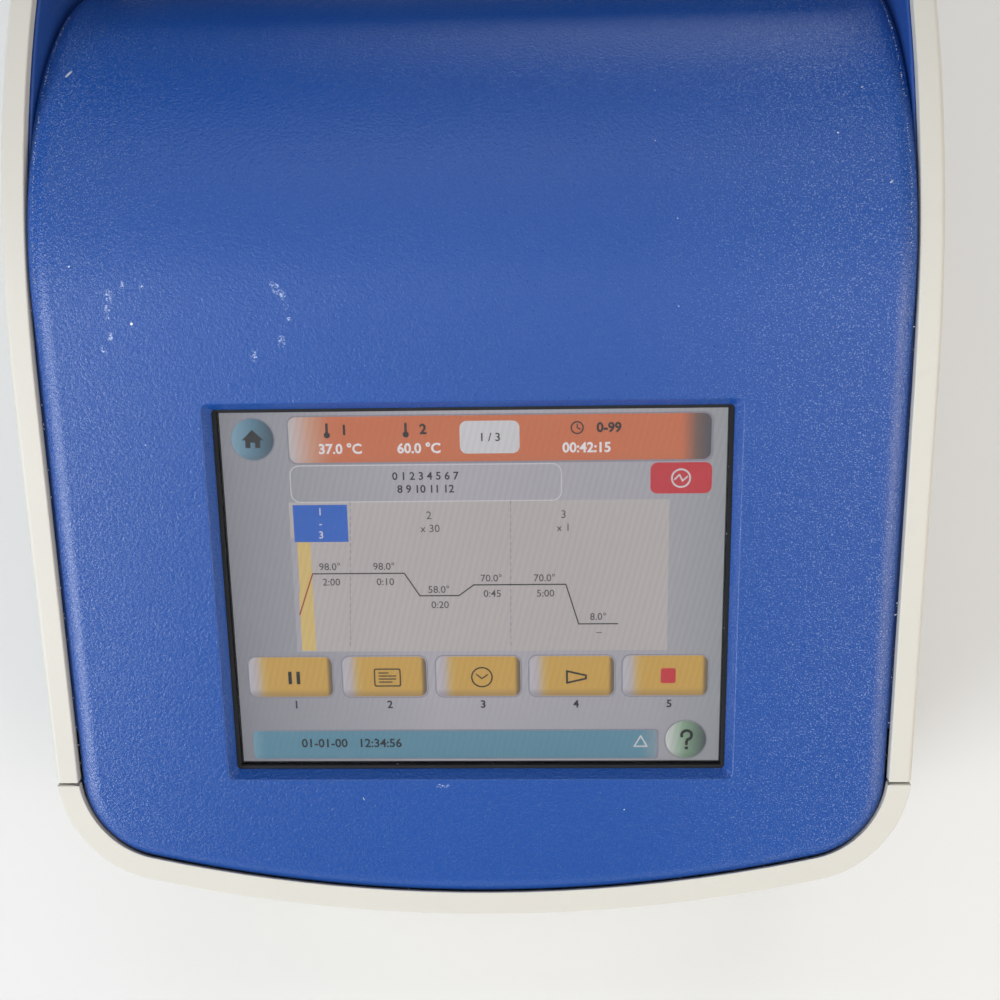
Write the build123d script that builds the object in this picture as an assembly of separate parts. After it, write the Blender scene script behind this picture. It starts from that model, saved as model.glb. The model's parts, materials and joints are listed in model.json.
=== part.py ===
from build123d import *
from math import cos, radians, sin, sqrt
import os

# Bench-top thermal cycler for a 96-well plate. Millimetres.
# Origin: the middle of the footprint on the bench. X to the right, Y to the back, Z up.

# Overall size
WIDTH, DEPTH, HEIGHT = 237.0, 485.0, 245.0
HALF = WIDTH / 2
BASE_Z = 12.0

# Control panel: a tilted frame with its origin at the middle of the screen's glass
PANEL_TILT = 38.0
NOSE_REACH = 95.0
NOSE_BOW_RADIUS = 410.0
NOSE_CORNER = 30.0
NOSE_LEAN = 14.0
SEAM_UP, SEAM_GAP = -54.5, 0.7

# Pale rim round the blue panel
RIM_OUT, RIM_WIDTH = 3.5, 6.3
RIM_ARC_START, RIM_ARC_RADIUS = 56.0, 200.0
RIM_BEVEL = 1.0
REAR_ROUND = 30.0
SKIN = 2.5

# Blue panel moulding
PANEL_OUT, PANEL_WALL, PANEL_INSET = 4.0, 3.0, 7.2
ROLL_START, ROLL_RADIUS = 77.0, 87.0
EDGE_ROUND, EDGE_TRIM, SKIRT = 8.0, 1.9, 10.0
WINDOW_WIDTH, WINDOW_HEIGHT, WINDOW_DEPTH, WINDOW_SLOPE = 135.2, 101.8, 2.8, 35.5
BOSS_X, BOSS_UP = 84.0, 56.0

# Screen stack, behind the glass's face
GLASS = (142.0, 108.0, 1.1)
LCD = (153.0, 118.0, 8.0)
BRACKET_OUT, BRACKET_SHEET = -10.6, 1.2

# Lid well, chassis deck and sample block
CHEEK_X, CHEEK_WALL, CHEEK_DROP, CHEEK_START = 111.6, 2.0, 3.5, -40.0
DECK_Z, DECK_SHEET, WELL_FLOOR = 184.0, 2.0, 2.5
DECK_FRONT, DECK_BACK, WELL_BACK = 16.0, 214.0, 194.0
BLOCK_Y, BLOCK_TOP = 100.0, 190.0
PITCH, ROWS, ZONES, ZONE_GAP = 9.0, 8, 6, 0.8
WELL_RADIUS, WELL_DEPTH, WELL_FACES = 3.15, 15.0, 8
CHASSIS_X = 101.0

# Heat sink stack under the block
PELTIER = (39.4, 39.4, 3.8)
SINK_X, SINK_FRONT, SINK_BACK = 75.0, 35.0, 165.0
SINK_TOP, SINK_BASE, FIN_LOW, FIN_COUNT = 166.0, 8.0, 106.0, 20
FAN_SIZE, FAN_DEEP, FAN_Z, FAN_FRONT = 92.0, 25.0, 133.0, 211.0
BLADES, BLADE_PITCH, SPINDLE = 7, 42.0, 1.5
REAR_PANEL_Y, REAR_SHEET = 236.5, 1.5

# Lid, hinge, handle lever and latch
LID_X, LID_WALL, LID_TOP, LID_BOTTOM = 109.2, 2.5, 244.3, 191.0
LID_FRONT, LID_BACK = 19.0, 188.5
HINGE_Y, HINGE_Z, HINGE_PIN, HINGE_EYE, HOOD_RADIUS = 197.0, 233.0, 4.0, 8.2, 11.3
BRACKET_X, LUG_X = 80.0, 91.0
LEVER_Y, LEVER_Z, LEVER_BARREL, LEVER_AXLE = 52.0, 236.0, 8.0, 3.0
LEVER_X, POCKET_FLOOR, POCKET_BACK = 106.2, 226.0, 60.6
LATCH_Y, LATCH_Z, LATCH_SHAFT, HOOK_X = 38.0, 203.0, 3.0, 88.0
STRIKE_Y, STRIKE_Z, STRIKE_PIN = 31.5, 178.0, 2.5
FRAME_LOW, FRAME_PLATE = 214.0, 5.0
PLATEN_LOW, PLATEN_THICK = 196.0, 6.0
RUNNING = 0.05

# Mains entry and sockets on the rear panel
ENTRY_X, ENTRY_Z = -66.0, 52.0
ROCKER_X, ROCKER_PIVOT = -24.0, 1.5
SOCKET_Z = 30.0
BOARD_LOW, BOARD_HIGH = 24.0, 25.6

# Base pan, feet and air slots
PAN_SHEET, FOOT, FOOT_X, FOOT_ROWS = 1.5, 12.0, 88.0, (-168.0, 212.0)
PAN_TOP = BASE_Z + PAN_SHEET
SLOT_WIDE, SLOT_PITCH, SIDE_SLOTS, SIDE_SLOT_Y = 3.6, 10.0, 9, 80.0

SIN, COS = sin(radians(PANEL_TILT)), cos(radians(PANEL_TILT))
SCREEN_Y = -DEPTH / 2 + NOSE_REACH * COS + RIM_OUT * SIN
SCREEN_Z = HEIGHT - RIM_ARC_RADIUS - RIM_ARC_START * SIN - (RIM_OUT - RIM_ARC_RADIUS) * COS
PANEL = Plane(origin=(0, SCREEN_Y, SCREEN_Z), x_dir=(1, 0, 0), z_dir=(0, -SIN, COS)).location


def on_panel(up, out):
    """World (Y, Z) of a point that is up the panel and out of the glass's face."""
    return SCREEN_Y + up * COS - out * SIN, SCREEN_Z + up * SIN + out * COS


def closed(*edges):
    return make_face(list(edges))


def polygon(*points):
    return make_face(Polyline(*points, close=True))


def across(outline, x_low, x_high):
    """A solid whose side view is the (Y, Z) outline, from x_low to x_high."""
    return extrude(Plane.YZ.offset(x_low) * outline, x_high - x_low)


def block(x, y, z):
    """A box from three (low, high) pairs."""
    middle = [(low + high) / 2 for low, high in (x, y, z)]
    return Pos(*middle) * Box(x[1] - x[0], y[1] - y[0], z[1] - z[0])


def rod(x_low, x_high, y, z, radius):
    """A round bar along X."""
    return Pos((x_low + x_high) / 2, y, z) * Rot(0, 90, 0) * Cylinder(radius, x_high - x_low)


def post(x, y, z_low, z_high, radius):
    return Pos(x, y, (z_low + z_high) / 2) * Cylinder(radius, z_high - z_low)


def hex_post(x, y, z_low, z_high, radius):
    return Pos(x, y, z_low) * extrude(RegularPolygon(radius, 6), z_high - z_low)


def disc(x, y_low, y_high, z, radius):
    """A round bar along Y."""
    return Pos(x, (y_low + y_high) / 2, z) * Rot(90, 0, 0) * Cylinder(radius, y_high - y_low)


def both_sides(solid):
    return solid + mirror(solid, Plane.YZ)


def rim_outline(drop, front=-200.0):
    """Side view of the casing, with its top edge the given drop below the rim."""
    start = on_panel(front, RIM_OUT - drop)
    bend = on_panel(RIM_ARC_START, RIM_OUT - drop)
    centre = on_panel(RIM_ARC_START, RIM_OUT - RIM_ARC_RADIUS)
    back, top = DEPTH / 2 - drop, HEIGHT - drop
    return closed(
        Line(start, bend),
        CenterArc(centre, RIM_ARC_RADIUS - drop, 90 + PANEL_TILT, -PANEL_TILT),
        Line((centre[0], top), (DEPTH / 2 - REAR_ROUND, top)),
        CenterArc((DEPTH / 2 - REAR_ROUND, HEIGHT - REAR_ROUND), REAR_ROUND - drop, 90, -90),
        Line((back, HEIGHT - REAR_ROUND), (back, BASE_Z + drop)),
        Line((back, BASE_Z + drop), (start[0], BASE_Z + drop)),
        Line((start[0], BASE_Z + drop), start),
    )


def nose_outline(inset, squash=1.0, back=700.0):
    """The rim's outline seen square to the panel: a bowed front with round corners.

    A squash below 1 gives the same outline as seen along the leaning front."""
    half, radius = HALF - inset, NOSE_BOW_RADIUS / squash - inset
    front = -NOSE_REACH * squash + inset
    shoulder = front + radius - sqrt(radius**2 - half**2)
    outline = closed(
        ThreePointArc((-half, shoulder), (0, front), (half, shoulder)),
        Line((half, shoulder), (half, back)),
        Line((half, back), (-half, back)),
        Line((-half, back), (-half, shoulder)),
    )
    corners = outline.vertices().sort_by(Axis.Y)[:2]
    return fillet(corners, NOSE_CORNER - inset)


def nose_prism(inset):
    """The nose outline carried down and back along the leaning front, and up past the rim."""
    lean = (0, -sin(radians(NOSE_LEAN)), cos(radians(NOSE_LEAN)))
    along = Plane(origin=(0, *on_panel(0, RIM_OUT)), x_dir=(1, 0, 0), z_dir=lean)
    squash = cos(radians(PANEL_TILT - NOSE_LEAN))
    return extrude(along * nose_outline(inset, squash), 520, both=True)


def panel_zone(low, high, reach=400.0):
    """Everything between two heights up the panel."""
    return PANEL * Pos(0, (low + high) / 2, 0) * Box(2 * WIDTH, high - low, 2 * reach)


def make_front_bumper():
    """Front rim piece: 6 mm rim on a thin skirt that leans back under the nose."""
    shell = nose_prism(0) & across(rim_outline(0), -HALF, HALF)
    shell -= nose_prism(RIM_WIDTH)
    low = across(rim_outline(3.0), -HALF, HALF) & nose_prism(SKIN)
    shell = (shell - low) & panel_zone(-200, SEAM_UP - SEAM_GAP / 2)
    # Hidden ledges carry the rim piece on the base pan
    for x in (-70, 0, 70):
        shell += block((x - 6, x + 6), (-214, -196), (PAN_TOP, BASE_Z + 10)) & nose_prism(1.0)
    return shell


def make_side_panel(side):
    """Side panel: flat rim on top, thin skin outside, with air slots low down."""
    outer = across(rim_outline(0), HALF - RIM_WIDTH, HALF)
    rim_edges = outer.faces().sort_by(Axis.X)[-1].edges().filter_by(lambda e: e.center().Z > BASE_Z + 1)
    outer = chamfer(rim_edges, RIM_BEVEL)
    pocket = across(rim_outline(3.0), HALF - RIM_WIDTH - 1, HALF - SKIN)
    panel = (outer - pocket) & panel_zone(SEAM_UP + SEAM_GAP / 2, 600, 700)
    for step in range(SIDE_SLOTS):
        y = SIDE_SLOT_Y + SLOT_PITCH * step
        panel -= block((HALF - 5, HALF + 5), (y, y + SLOT_WIDE), (34, 84))
    return panel if side > 0 else mirror(panel, Plane.YZ)


def roll_outline(drop, front=-140.0):
    """Side view of the panel in its own frame: flat, then rolling over and down."""
    centre = (ROLL_START, PANEL_OUT - ROLL_RADIUS)
    top = PANEL_OUT - drop
    return closed(
        Line((front, top), (ROLL_START, top)),
        CenterArc(centre, ROLL_RADIUS - drop, 90, -90),
        Line((ROLL_START + ROLL_RADIUS - drop, centre[1]), (front, centre[1])),
        Line((front, centre[1]), (front, top)),
    )


def rolled_block(wall, inset):
    """A block in the panel's form: bowed nose, flat front and the roll behind."""
    return across(roll_outline(wall), -HALF, HALF) & extrude(nose_outline(inset), 120, both=True)


def panel_body():
    """The panel's outer form with its upper edges rounded."""
    wide = PANEL_INSET - EDGE_TRIM
    solid = rolled_block(0, wide)
    low = PANEL_OUT - ROLL_RADIUS + 1
    top = [
        edge
        for edge in solid.edges()
        if edge.center().Z > low
        and (abs(edge.center().X) > HALF - wide - 0.5 or edge.center().Y < -40)
        and edge.position_at(0).Z > low - 2
        and edge.position_at(1).Z > low - 2
    ]
    return fillet(top, EDGE_ROUND) & extrude(nose_outline(PANEL_INSET), 120, both=True)


def make_front_panel():
    """Blue panel moulding with the chamfered screen window and four screw bosses."""
    shell = panel_body() - rolled_block(PANEL_WALL, PANEL_INSET + PANEL_WALL)
    shell -= across(roll_outline(SKIRT), -HALF, HALF)
    sill = PANEL_OUT - WINDOW_DEPTH
    opening = Rectangle(WINDOW_WIDTH, WINDOW_HEIGHT)
    shell -= Pos(0, 0, sill) * extrude(opening, WINDOW_DEPTH + 0.4, taper=-WINDOW_SLOPE)
    shell -= extrude(opening, sill + 1, both=True)
    boss_foot = BRACKET_OUT + BRACKET_SHEET
    for x, up in boss_places():
        shell += Pos(x, up, boss_foot) * extrude(RegularPolygon(4, 6), PANEL_OUT - 1 - boss_foot)
    return PANEL * shell


def boss_places():
    return [(x, up) for x in (-BOSS_X, BOSS_X) for up in (-BOSS_UP, BOSS_UP)]


def make_screen_gasket():
    ring = Box(144, 110, 1.0) - Box(133.2, 100.0, 2.0)
    return PANEL * Pos(0, 0, 0.5) * ring


def make_touch_glass():
    return PANEL * Pos(0, 0, -GLASS[2] / 2) * Box(*GLASS)


def make_lcd_module():
    """Metal-framed display: a tray with a raised bezel round the lit area."""
    body = Pos(0, 0, -GLASS[2] - LCD[2] / 2) * Box(*LCD)
    body -= Pos(0, 0, -GLASS[2]) * Box(134, 101, 1.2)
    return PANEL * body


def make_screen_bracket():
    """Pressed sheet that clamps the display against the panel's bosses."""
    return PANEL * Pos(0, 0, BRACKET_OUT + BRACKET_SHEET / 2) * Box(182, 126, BRACKET_SHEET)


def make_bracket_screws():
    heads = [Pos(x, up, BRACKET_OUT - 2.0) * extrude(RegularPolygon(3.2, 6), 2.0) for x, up in boss_places()]
    return Compound(children=[PANEL * head for head in heads])


def make_display_board():
    """Driver board on four spacers behind the bracket."""
    board = Pos(0, 0, BRACKET_OUT - 6.8) * Box(130, 96, 1.6)
    for x in (-60, 60):
        for up in (-43, 43):
            board += Pos(x, up, BRACKET_OUT - 6.0) * extrude(RegularPolygon(3, 6), 6.0)
    board += Pos(20, 10, BRACKET_OUT - 9.0) * Box(24, 24, 2.8)
    return PANEL * board


def make_lid_well():
    """Blue deck moulding: floor round the block, two cheek walls, front and rear walls."""
    floor_low, floor_high = DECK_Z + DECK_SHEET, DECK_Z + DECK_SHEET + WELL_FLOOR
    roll_centre = on_panel(ROLL_START, PANEL_OUT - ROLL_RADIUS)
    inner = ROLL_RADIUS - SKIRT - 4
    crest = on_panel(ROLL_START, PANEL_OUT - SKIRT - 4)
    front_low = on_panel(CHEEK_START, PANEL_OUT - SKIRT - 4)
    front_high = on_panel(CHEEK_START, RIM_OUT - CHEEK_DROP)
    bend = on_panel(RIM_ARC_START, RIM_OUT - CHEEK_DROP)
    rim_centre = on_panel(RIM_ARC_START, RIM_OUT - RIM_ARC_RADIUS)
    heel = (roll_centre[0] + inner * COS, roll_centre[1] + inner * SIN)
    back = HINGE_Y + 12
    cheek = closed(
        Line(front_low, front_high),
        Line(front_high, bend),
        CenterArc(rim_centre, RIM_ARC_RADIUS - CHEEK_DROP, 90 + PANEL_TILT, -PANEL_TILT),
        Line((rim_centre[0], HEIGHT - CHEEK_DROP), (back, HEIGHT - CHEEK_DROP)),
        Line((back, HEIGHT - CHEEK_DROP), (back, floor_low)),
        Line((back, floor_low), (heel[0], floor_low)),
        Line((heel[0], floor_low), heel),
        CenterArc(roll_centre, inner, PANEL_TILT, 90),
        Line(crest, front_low),
    )
    well = both_sides(across(cheek, CHEEK_X, CHEEK_X + CHEEK_WALL))
    reach = (-CHEEK_X - CHEEK_WALL, CHEEK_X + CHEEK_WALL)
    well += block(reach, (DECK_FRONT - 0.6, WELL_BACK), (floor_low, floor_high))
    well += block(reach, (DECK_FRONT - 0.6, DECK_FRONT + 1.9), (floor_low, 200.4))
    well += block(reach, (WELL_BACK - 2.5, WELL_BACK), (floor_low, 207.0))
    well -= Pos(0, BLOCK_Y, floor_low) * Box(124, 86, 20)
    well -= both_sides(block((HOOK_X - 6, HOOK_X + 6), (20, 54), (floor_low - 1, floor_high + 1)))
    return well


def make_chassis_deck():
    """Steel deck that the well, the hinge brackets and the block stand on."""
    deck = block((-CHASSIS_X - 1.5, CHASSIS_X + 1.5), (DECK_FRONT, DECK_BACK), (DECK_Z, DECK_Z + DECK_SHEET))
    deck -= Pos(0, BLOCK_Y, DECK_Z) * Box(122, 84, 20)
    deck -= both_sides(block((HOOK_X - 6, HOOK_X + 6), (20, 54), (DECK_Z - 1, DECK_Z + 3)))
    return deck


def make_chassis_side(side):
    """Folded steel side plate with three cut-outs, standing on the base pan."""
    x_low, x_high = CHASSIS_X, CHASSIS_X + 1.5
    plate = block((x_low, x_high), (DECK_FRONT, DECK_BACK), (PAN_TOP, DECK_Z))
    plate += block((x_low - 10, x_high), (DECK_FRONT, DECK_BACK), (PAN_TOP, BASE_Z + 3.0))
    for y in (32, 93, 154):
        plate -= block((x_low - 1, x_high + 1), (y, y + 44), (40, 160))
    return plate if side > 0 else mirror(plate, Plane.YZ)


def zone_width():
    return 2 * PITCH - ZONE_GAP


def make_sample_block():
    """Six aluminium zones of sixteen tapered wells each, on one 9 mm grid."""
    low = SINK_TOP + PELTIER[2]
    mouth = Plane.XY * RegularPolygon(WELL_RADIUS, WELL_FACES)
    well = loft([mouth.face(), Pos(0, 0, -WELL_DEPTH) * Vertex(0, 0, 0)], ruled=True)
    wells = [
        Pos(column * PITCH, row * PITCH, 0) * well
        for column in (-0.5, 0.5)
        for row in [index - (ROWS - 1) / 2 for index in range(ROWS)]
    ]
    depth = ROWS * PITCH
    zone = block((-zone_width() / 2, zone_width() / 2), (-depth / 2 - 3, depth / 2 + 3), (low, low + 4))
    zone += block((-zone_width() / 2, zone_width() / 2), (-depth / 2, depth / 2), (low + 4, BLOCK_TOP))
    zone -= [Pos(0, 0, BLOCK_TOP) * one for one in wells]
    return Compound(
        children=[Pos((index - (ZONES - 1) / 2) * 2 * PITCH, BLOCK_Y, 0) * zone for index in range(ZONES)]
    )


def make_block_seal():
    """Silicone frame that fills the slot between the block and the well's floor."""
    low, high = SINK_TOP + PELTIER[2] + 4, DECK_Z + DECK_SHEET + WELL_FLOOR
    width, depth = 2 * PITCH * ZONES - ZONE_GAP, ROWS * PITCH
    ring = Pos(0, BLOCK_Y, (DECK_Z + high) / 2) * Box(121.6, 83.6, high - DECK_Z)
    ring += Pos(0, BLOCK_Y, high + 0.5) * Box(128, 90, 1.0)
    ring += Pos(0, BLOCK_Y, (low + DECK_Z) / 2) * Box(width + 4, depth + 4, DECK_Z - low)
    return ring - Pos(0, BLOCK_Y, high) * Box(width, depth, 80)


def make_peltier_modules():
    step = PELTIER[0] + 0.6
    return Compound(
        children=[
            Pos(column * step, BLOCK_Y + row * step / 2, SINK_TOP + PELTIER[2] / 2) * Box(*PELTIER)
            for column in (-1, 0, 1)
            for row in (-1, 1)
        ]
    )


def make_heat_sink():
    """Extruded aluminium sink: a base with tall fins that run front to back."""
    sink = block((-SINK_X, SINK_X), (SINK_FRONT, SINK_BACK), (SINK_TOP - SINK_BASE, SINK_TOP))
    for index in range(FIN_COUNT):
        x = -SINK_X + 4 + (2 * SINK_X - 8) * index / (FIN_COUNT - 1)
        sink += block((x - 0.7, x + 0.7), (SINK_FRONT, SINK_BACK), (FIN_LOW, SINK_TOP - SINK_BASE))
    return sink


def sink_post_places():
    return [(x, y) for x in (-68, 68) for y in (SINK_FRONT + 8, SINK_BACK - 8)]


def make_sink_posts():
    return Compound(children=[hex_post(x, y, SINK_TOP, DECK_Z, 5) for x, y in sink_post_places()])


def make_air_duct():
    """Channel under and beside the fins, closed by a plate with the fan's mouth."""
    half = SINK_X + 0.3
    duct = block((-half - 2, half + 2), (SINK_FRONT, FAN_FRONT), (FIN_LOW - 2, FIN_LOW))
    duct += both_sides(block((half, half + 2), (SINK_FRONT, FAN_FRONT), (FIN_LOW - 2, SINK_TOP)))
    duct += block((-half - 2, half + 2), (FAN_FRONT - 2, FAN_FRONT), (FAN_Z - 46, 180))
    mouth = Pos(0, FAN_FRONT, FAN_Z) * Rot(90, 0, 0) * extrude(RegularPolygon(43, 16), 4, both=True)
    return duct - mouth


def make_fan_frame():
    """Square fan frame with a round throat, four spokes and a motor cup."""
    back = FAN_FRONT + FAN_DEEP
    middle = FAN_FRONT + FAN_DEEP / 2
    square = chamfer(Rectangle(FAN_SIZE, FAN_SIZE).vertices(), 4)
    frame = Pos(0, middle, FAN_Z) * Rot(90, 0, 0) * extrude(square, FAN_DEEP / 2, both=True)
    frame -= disc(0, FAN_FRONT - 1, back + 1, FAN_Z, 43)
    for turn in range(4):
        spoke = Pos(0, back - 1.5, FAN_Z) * Rot(0, 45 + 90 * turn, 0) * Pos(31, 0, 0) * Box(26, 3, 4)
        frame += spoke
    frame += Pos(0, back, FAN_Z) * Rot(90, 0, 0) * extrude(RegularPolygon(19, 12), 3)
    frame += disc(0, FAN_FRONT + 6, back - 3, FAN_Z, SPINDLE)
    return frame


def make_fan_rotor():
    """Hub with pitched sickle blades, turning on the frame's spindle."""
    hub = Pos(0, FAN_FRONT + 21, FAN_Z) * Rot(90, 0, 0) * extrude(RegularPolygon(18, 2 * BLADES), 18)
    hub -= disc(0, FAN_FRONT + 5, FAN_FRONT + 22, FAN_Z, SPINDLE + RUNNING)
    outline = polygon((16, -8), (30, -11), (41, -13), (41.5, 10), (28, 11), (16, 9))
    for turn in range(BLADES):
        blade = Rot(0, 360 / BLADES * turn, 0) * Rot(BLADE_PITCH, 0, 0) * extrude(outline, 0.8, both=True)
        hub += Pos(0, FAN_FRONT + 12, FAN_Z) * blade
    return hub


def make_base_pan():
    """Steel pan with upturned sides, and rows of air slots."""
    inset = RIM_WIDTH + 0.1
    side, lip = HALF - inset, (BASE_Z, BASE_Z + 16)
    plate = nose_prism(inset) & block((-side, side), (-230, REAR_PANEL_Y), (BASE_Z, PAN_TOP))
    plate += both_sides(block((side - PAN_SHEET, side), (-100, REAR_PANEL_Y), lip))
    plate += block((-side, side), (REAR_PANEL_Y - PAN_SHEET, REAR_PANEL_Y), lip)
    for row in range(6):
        y = -150 + SLOT_PITCH * row
        plate -= both_sides(block((12, 72), (y, y + SLOT_WIDE), (BASE_Z - 1, PAN_TOP + 1)))
    return plate


def make_rubber_feet():
    feet = [(x, y) for x in (-FOOT_X, FOOT_X) for y in FOOT_ROWS]
    return Compound(children=[Pos(x, y, 0) * extrude(RegularPolygon(FOOT, 16), BASE_Z) for x, y in feet])


def make_rear_panel():
    """Rear sheet with the fan grille, vents and the cut-outs for the sockets."""
    back = REAR_PANEL_Y + REAR_SHEET
    side = HALF - RIM_WIDTH - 0.1
    sheet = block((-side, side), (REAR_PANEL_Y, back), (BASE_Z, 196))
    for index in range(9):
        z = FAN_Z - 32 + 8 * index
        half = sqrt(41**2 - (z - FAN_Z) ** 2)
        sheet -= block((-half, half), (REAR_PANEL_Y - 1, back + 1), (z - 1.9, z + 1.9))
    sheet += block((-2, 2), (REAR_PANEL_Y, back), (FAN_Z - 40, FAN_Z + 40))
    for index in range(6):
        z = 106 + SLOT_PITCH * index
        sheet -= both_sides(block((62, 100), (REAR_PANEL_Y - 1, back + 1), (z, z + SLOT_WIDE)))
    sheet -= block((ENTRY_X - 25, ENTRY_X + 25), (REAR_PANEL_Y - 1, back + 1), (ENTRY_Z - 19, ENTRY_Z + 19))
    sheet -= block((ROCKER_X - 9, ROCKER_X + 9), (REAR_PANEL_Y - 1, back + 1), (ENTRY_Z - 13, ENTRY_Z + 13))
    sheet -= block((38.8, 55.2), (REAR_PANEL_Y - 1, back + 1), (SOCKET_Z - 0.2, SOCKET_Z + 14.2))
    for x in (62, 80):
        sheet -= block((x - 0.2, x + 14.7), (REAR_PANEL_Y - 1, back + 1), (SOCKET_Z - 0.2, SOCKET_Z + 7.2))
    return sheet


def make_rear_top_cover():
    """Pale cover behind the lid, rounded over the back edge and hollowed round the hinge."""
    reach = CHEEK_X + CHEEK_WALL - 0.9
    cover = across(rim_outline(0), -reach, reach) - across(rim_outline(SKIN), -reach - 1, reach + 1)
    cover &= block((-HALF, HALF), (HINGE_Y + 9.8, DEPTH / 2), (190, HEIGHT))
    cover += block((-reach, reach), (HINGE_Y + 12.6, HINGE_Y + 15), (222, HEIGHT - 2))
    cover -= rod(-HALF, HALF, HINGE_Y, HINGE_Z, HOOD_RADIUS + 0.8)
    cover -= block((-HALF, HALF), (HINGE_Y - 20, HINGE_Y + 3), (100, 300))
    inside = CHEEK_X - 0.4
    return cover & block((-inside, inside), (0, 300), (0, 300))


def make_hinge_bracket(side):
    """Steel post on the chassis deck that carries the hinge pin."""
    seat = DECK_Z + DECK_SHEET
    eye = Pos(HINGE_Y, HINGE_Z) * RegularPolygon(HINGE_EYE, 8)
    foot = Pos(206.5, seat + 2) * Rectangle(14, 4)
    arm = make_hull((eye + foot).edges())
    post_x = side * BRACKET_X
    bracket = across(arm, post_x - 4, post_x + 4)
    bracket += block((post_x - 12, post_x + 12), (199.5, 213.5), (seat, seat + 4))
    return bracket - rod(post_x - 5, post_x + 5, HINGE_Y, HINGE_Z, HINGE_PIN)


def make_hinge_pin(side):
    """Round pin from inside the bracket to past the lid's lug."""
    low, high = sorted((side * (BRACKET_X - 6), side * (LUG_X + 6)))
    return rod(low, high, HINGE_Y, HINGE_Z, HINGE_PIN)


def make_latch_strike(side):
    """U-shaped steel bracket under the deck with a bar for the hook."""
    x = side * HOOK_X
    strike = block((x - 9, x + 9), (STRIKE_Y - 7, STRIKE_Y + 3), (STRIKE_Z - 6, DECK_Z))
    strike -= block((x - 7, x + 7), (STRIKE_Y - 8, STRIKE_Y + 4), (STRIKE_Z - 7, DECK_Z + 1))
    return strike + across(Pos(STRIKE_Y, STRIKE_Z) * RegularPolygon(STRIKE_PIN, 8), x - 8, x + 8)


def lid_side():
    """Side view of the lid: sloped chin, rounded brow, flat top and the hood over the hinge."""
    low_back = (200.0, 224.0)
    hood_end = (HINGE_Y + HOOD_RADIUS * cos(radians(20)), HINGE_Z - HOOD_RADIUS * sin(radians(20)))
    return closed(
        Line((LID_FRONT + 5, LID_BOTTOM), (LID_FRONT, LID_BOTTOM + 6)),
        Line((LID_FRONT, LID_BOTTOM + 6), (LID_FRONT, LID_TOP - 9)),
        CenterArc((LID_FRONT + 9, LID_TOP - 9), 9, 180, -90),
        Line((LID_FRONT + 9, LID_TOP), (HINGE_Y, LID_TOP)),
        CenterArc((HINGE_Y, HINGE_Z), HOOD_RADIUS, 90, -110),
        Line(hood_end, low_back),
        Line(low_back, (LID_BACK, 221)),
        Line((LID_BACK, 221), (LID_BACK, LID_BOTTOM)),
        Line((LID_BACK, LID_BOTTOM), (LID_FRONT + 5, LID_BOTTOM)),
    )


def lid_hollow():
    """Side view of the space inside the lid's walls, below the lever's pocket."""
    return polygon(
        (LID_FRONT + 7, LID_BOTTOM - 1),
        (LID_FRONT + LID_WALL, LID_BOTTOM + 7.5),
        (LID_FRONT + LID_WALL, POCKET_FLOOR - LID_WALL),
        (POCKET_BACK + LID_WALL, POCKET_FLOOR - LID_WALL),
        (POCKET_BACK + LID_WALL, LID_TOP - LID_WALL),
        (LID_BACK - LID_WALL, LID_TOP - LID_WALL),
        (LID_BACK - LID_WALL, LID_BOTTOM - 1),
    )


def hood_hollow():
    """Side view of the space for the hinge under the hood."""
    inner = HOOD_RADIUS - LID_WALL
    return closed(
        Line((LID_BACK, 180), (LID_BACK, LID_TOP - LID_WALL)),
        Line((LID_BACK, LID_TOP - LID_WALL), (HINGE_Y, LID_TOP - LID_WALL)),
        CenterArc((HINGE_Y, HINGE_Z), inner, 90, -110),
        Line(
            (HINGE_Y + inner * cos(radians(20)), HINGE_Z - inner * sin(radians(20))),
            (HINGE_Y + 20, HINGE_Z - 10),
        ),
        Line((HINGE_Y + 20, HINGE_Z - 10), (HINGE_Y + 20, 180)),
        Line((HINGE_Y + 20, 180), (LID_BACK, 180)),
    )


def make_lid_cover():
    """Pale lid shell with the pocket for the lever and the hood over the hinge."""
    cover = across(lid_side(), -LID_X, LID_X)
    top_face = cover.faces().filter_by(Axis.Z).sort_by(Axis.Z)[-1]
    cover = chamfer(top_face.edges().filter_by(Axis.Y), 1.2)
    inside = LID_X - LID_WALL
    cover -= across(lid_hollow(), -inside, inside)
    cover -= across(hood_hollow(), -inside, inside)
    cover -= block((-inside, inside), (0, POCKET_BACK), (POCKET_FLOOR, LID_TOP + 5))
    cover -= rod(-LID_X - 1, LID_X + 1, LEVER_Y, LEVER_Z, LEVER_AXLE + RUNNING)
    cover -= both_sides(block((BRACKET_X - 5.5, BRACKET_X + 5.5), (LID_BACK, 230), (180, 260)))
    lug_gap = (LUG_X - 5.6, LUG_X + 5.6)
    cover -= both_sides(block(lug_gap, (LID_BACK - 4, LID_BACK + 4), (210, LID_TOP - LID_WALL)))
    return cover


def make_lid_liner():
    """Dark underside of the lid: a frame round the heated plate with slots for the hooks."""
    inside, front = LID_X - LID_WALL - 0.2, LID_FRONT + 8.5
    low, high = LID_BOTTOM, LID_BOTTOM + 2.5
    liner = block((-inside, inside), (front, LID_BACK - LID_WALL - 0.2), (low, high))
    liner += Pos(0, BLOCK_Y, LID_BOTTOM + 6) * Box(138, 102, 12)
    liner -= Pos(0, BLOCK_Y, LID_BOTTOM + 6) * Box(131, 95, 14)
    liner -= both_sides(block((HOOK_X - 5, HOOK_X + 5), (front + 1, 58), (low - 1, high + 1)))
    return liner


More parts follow.
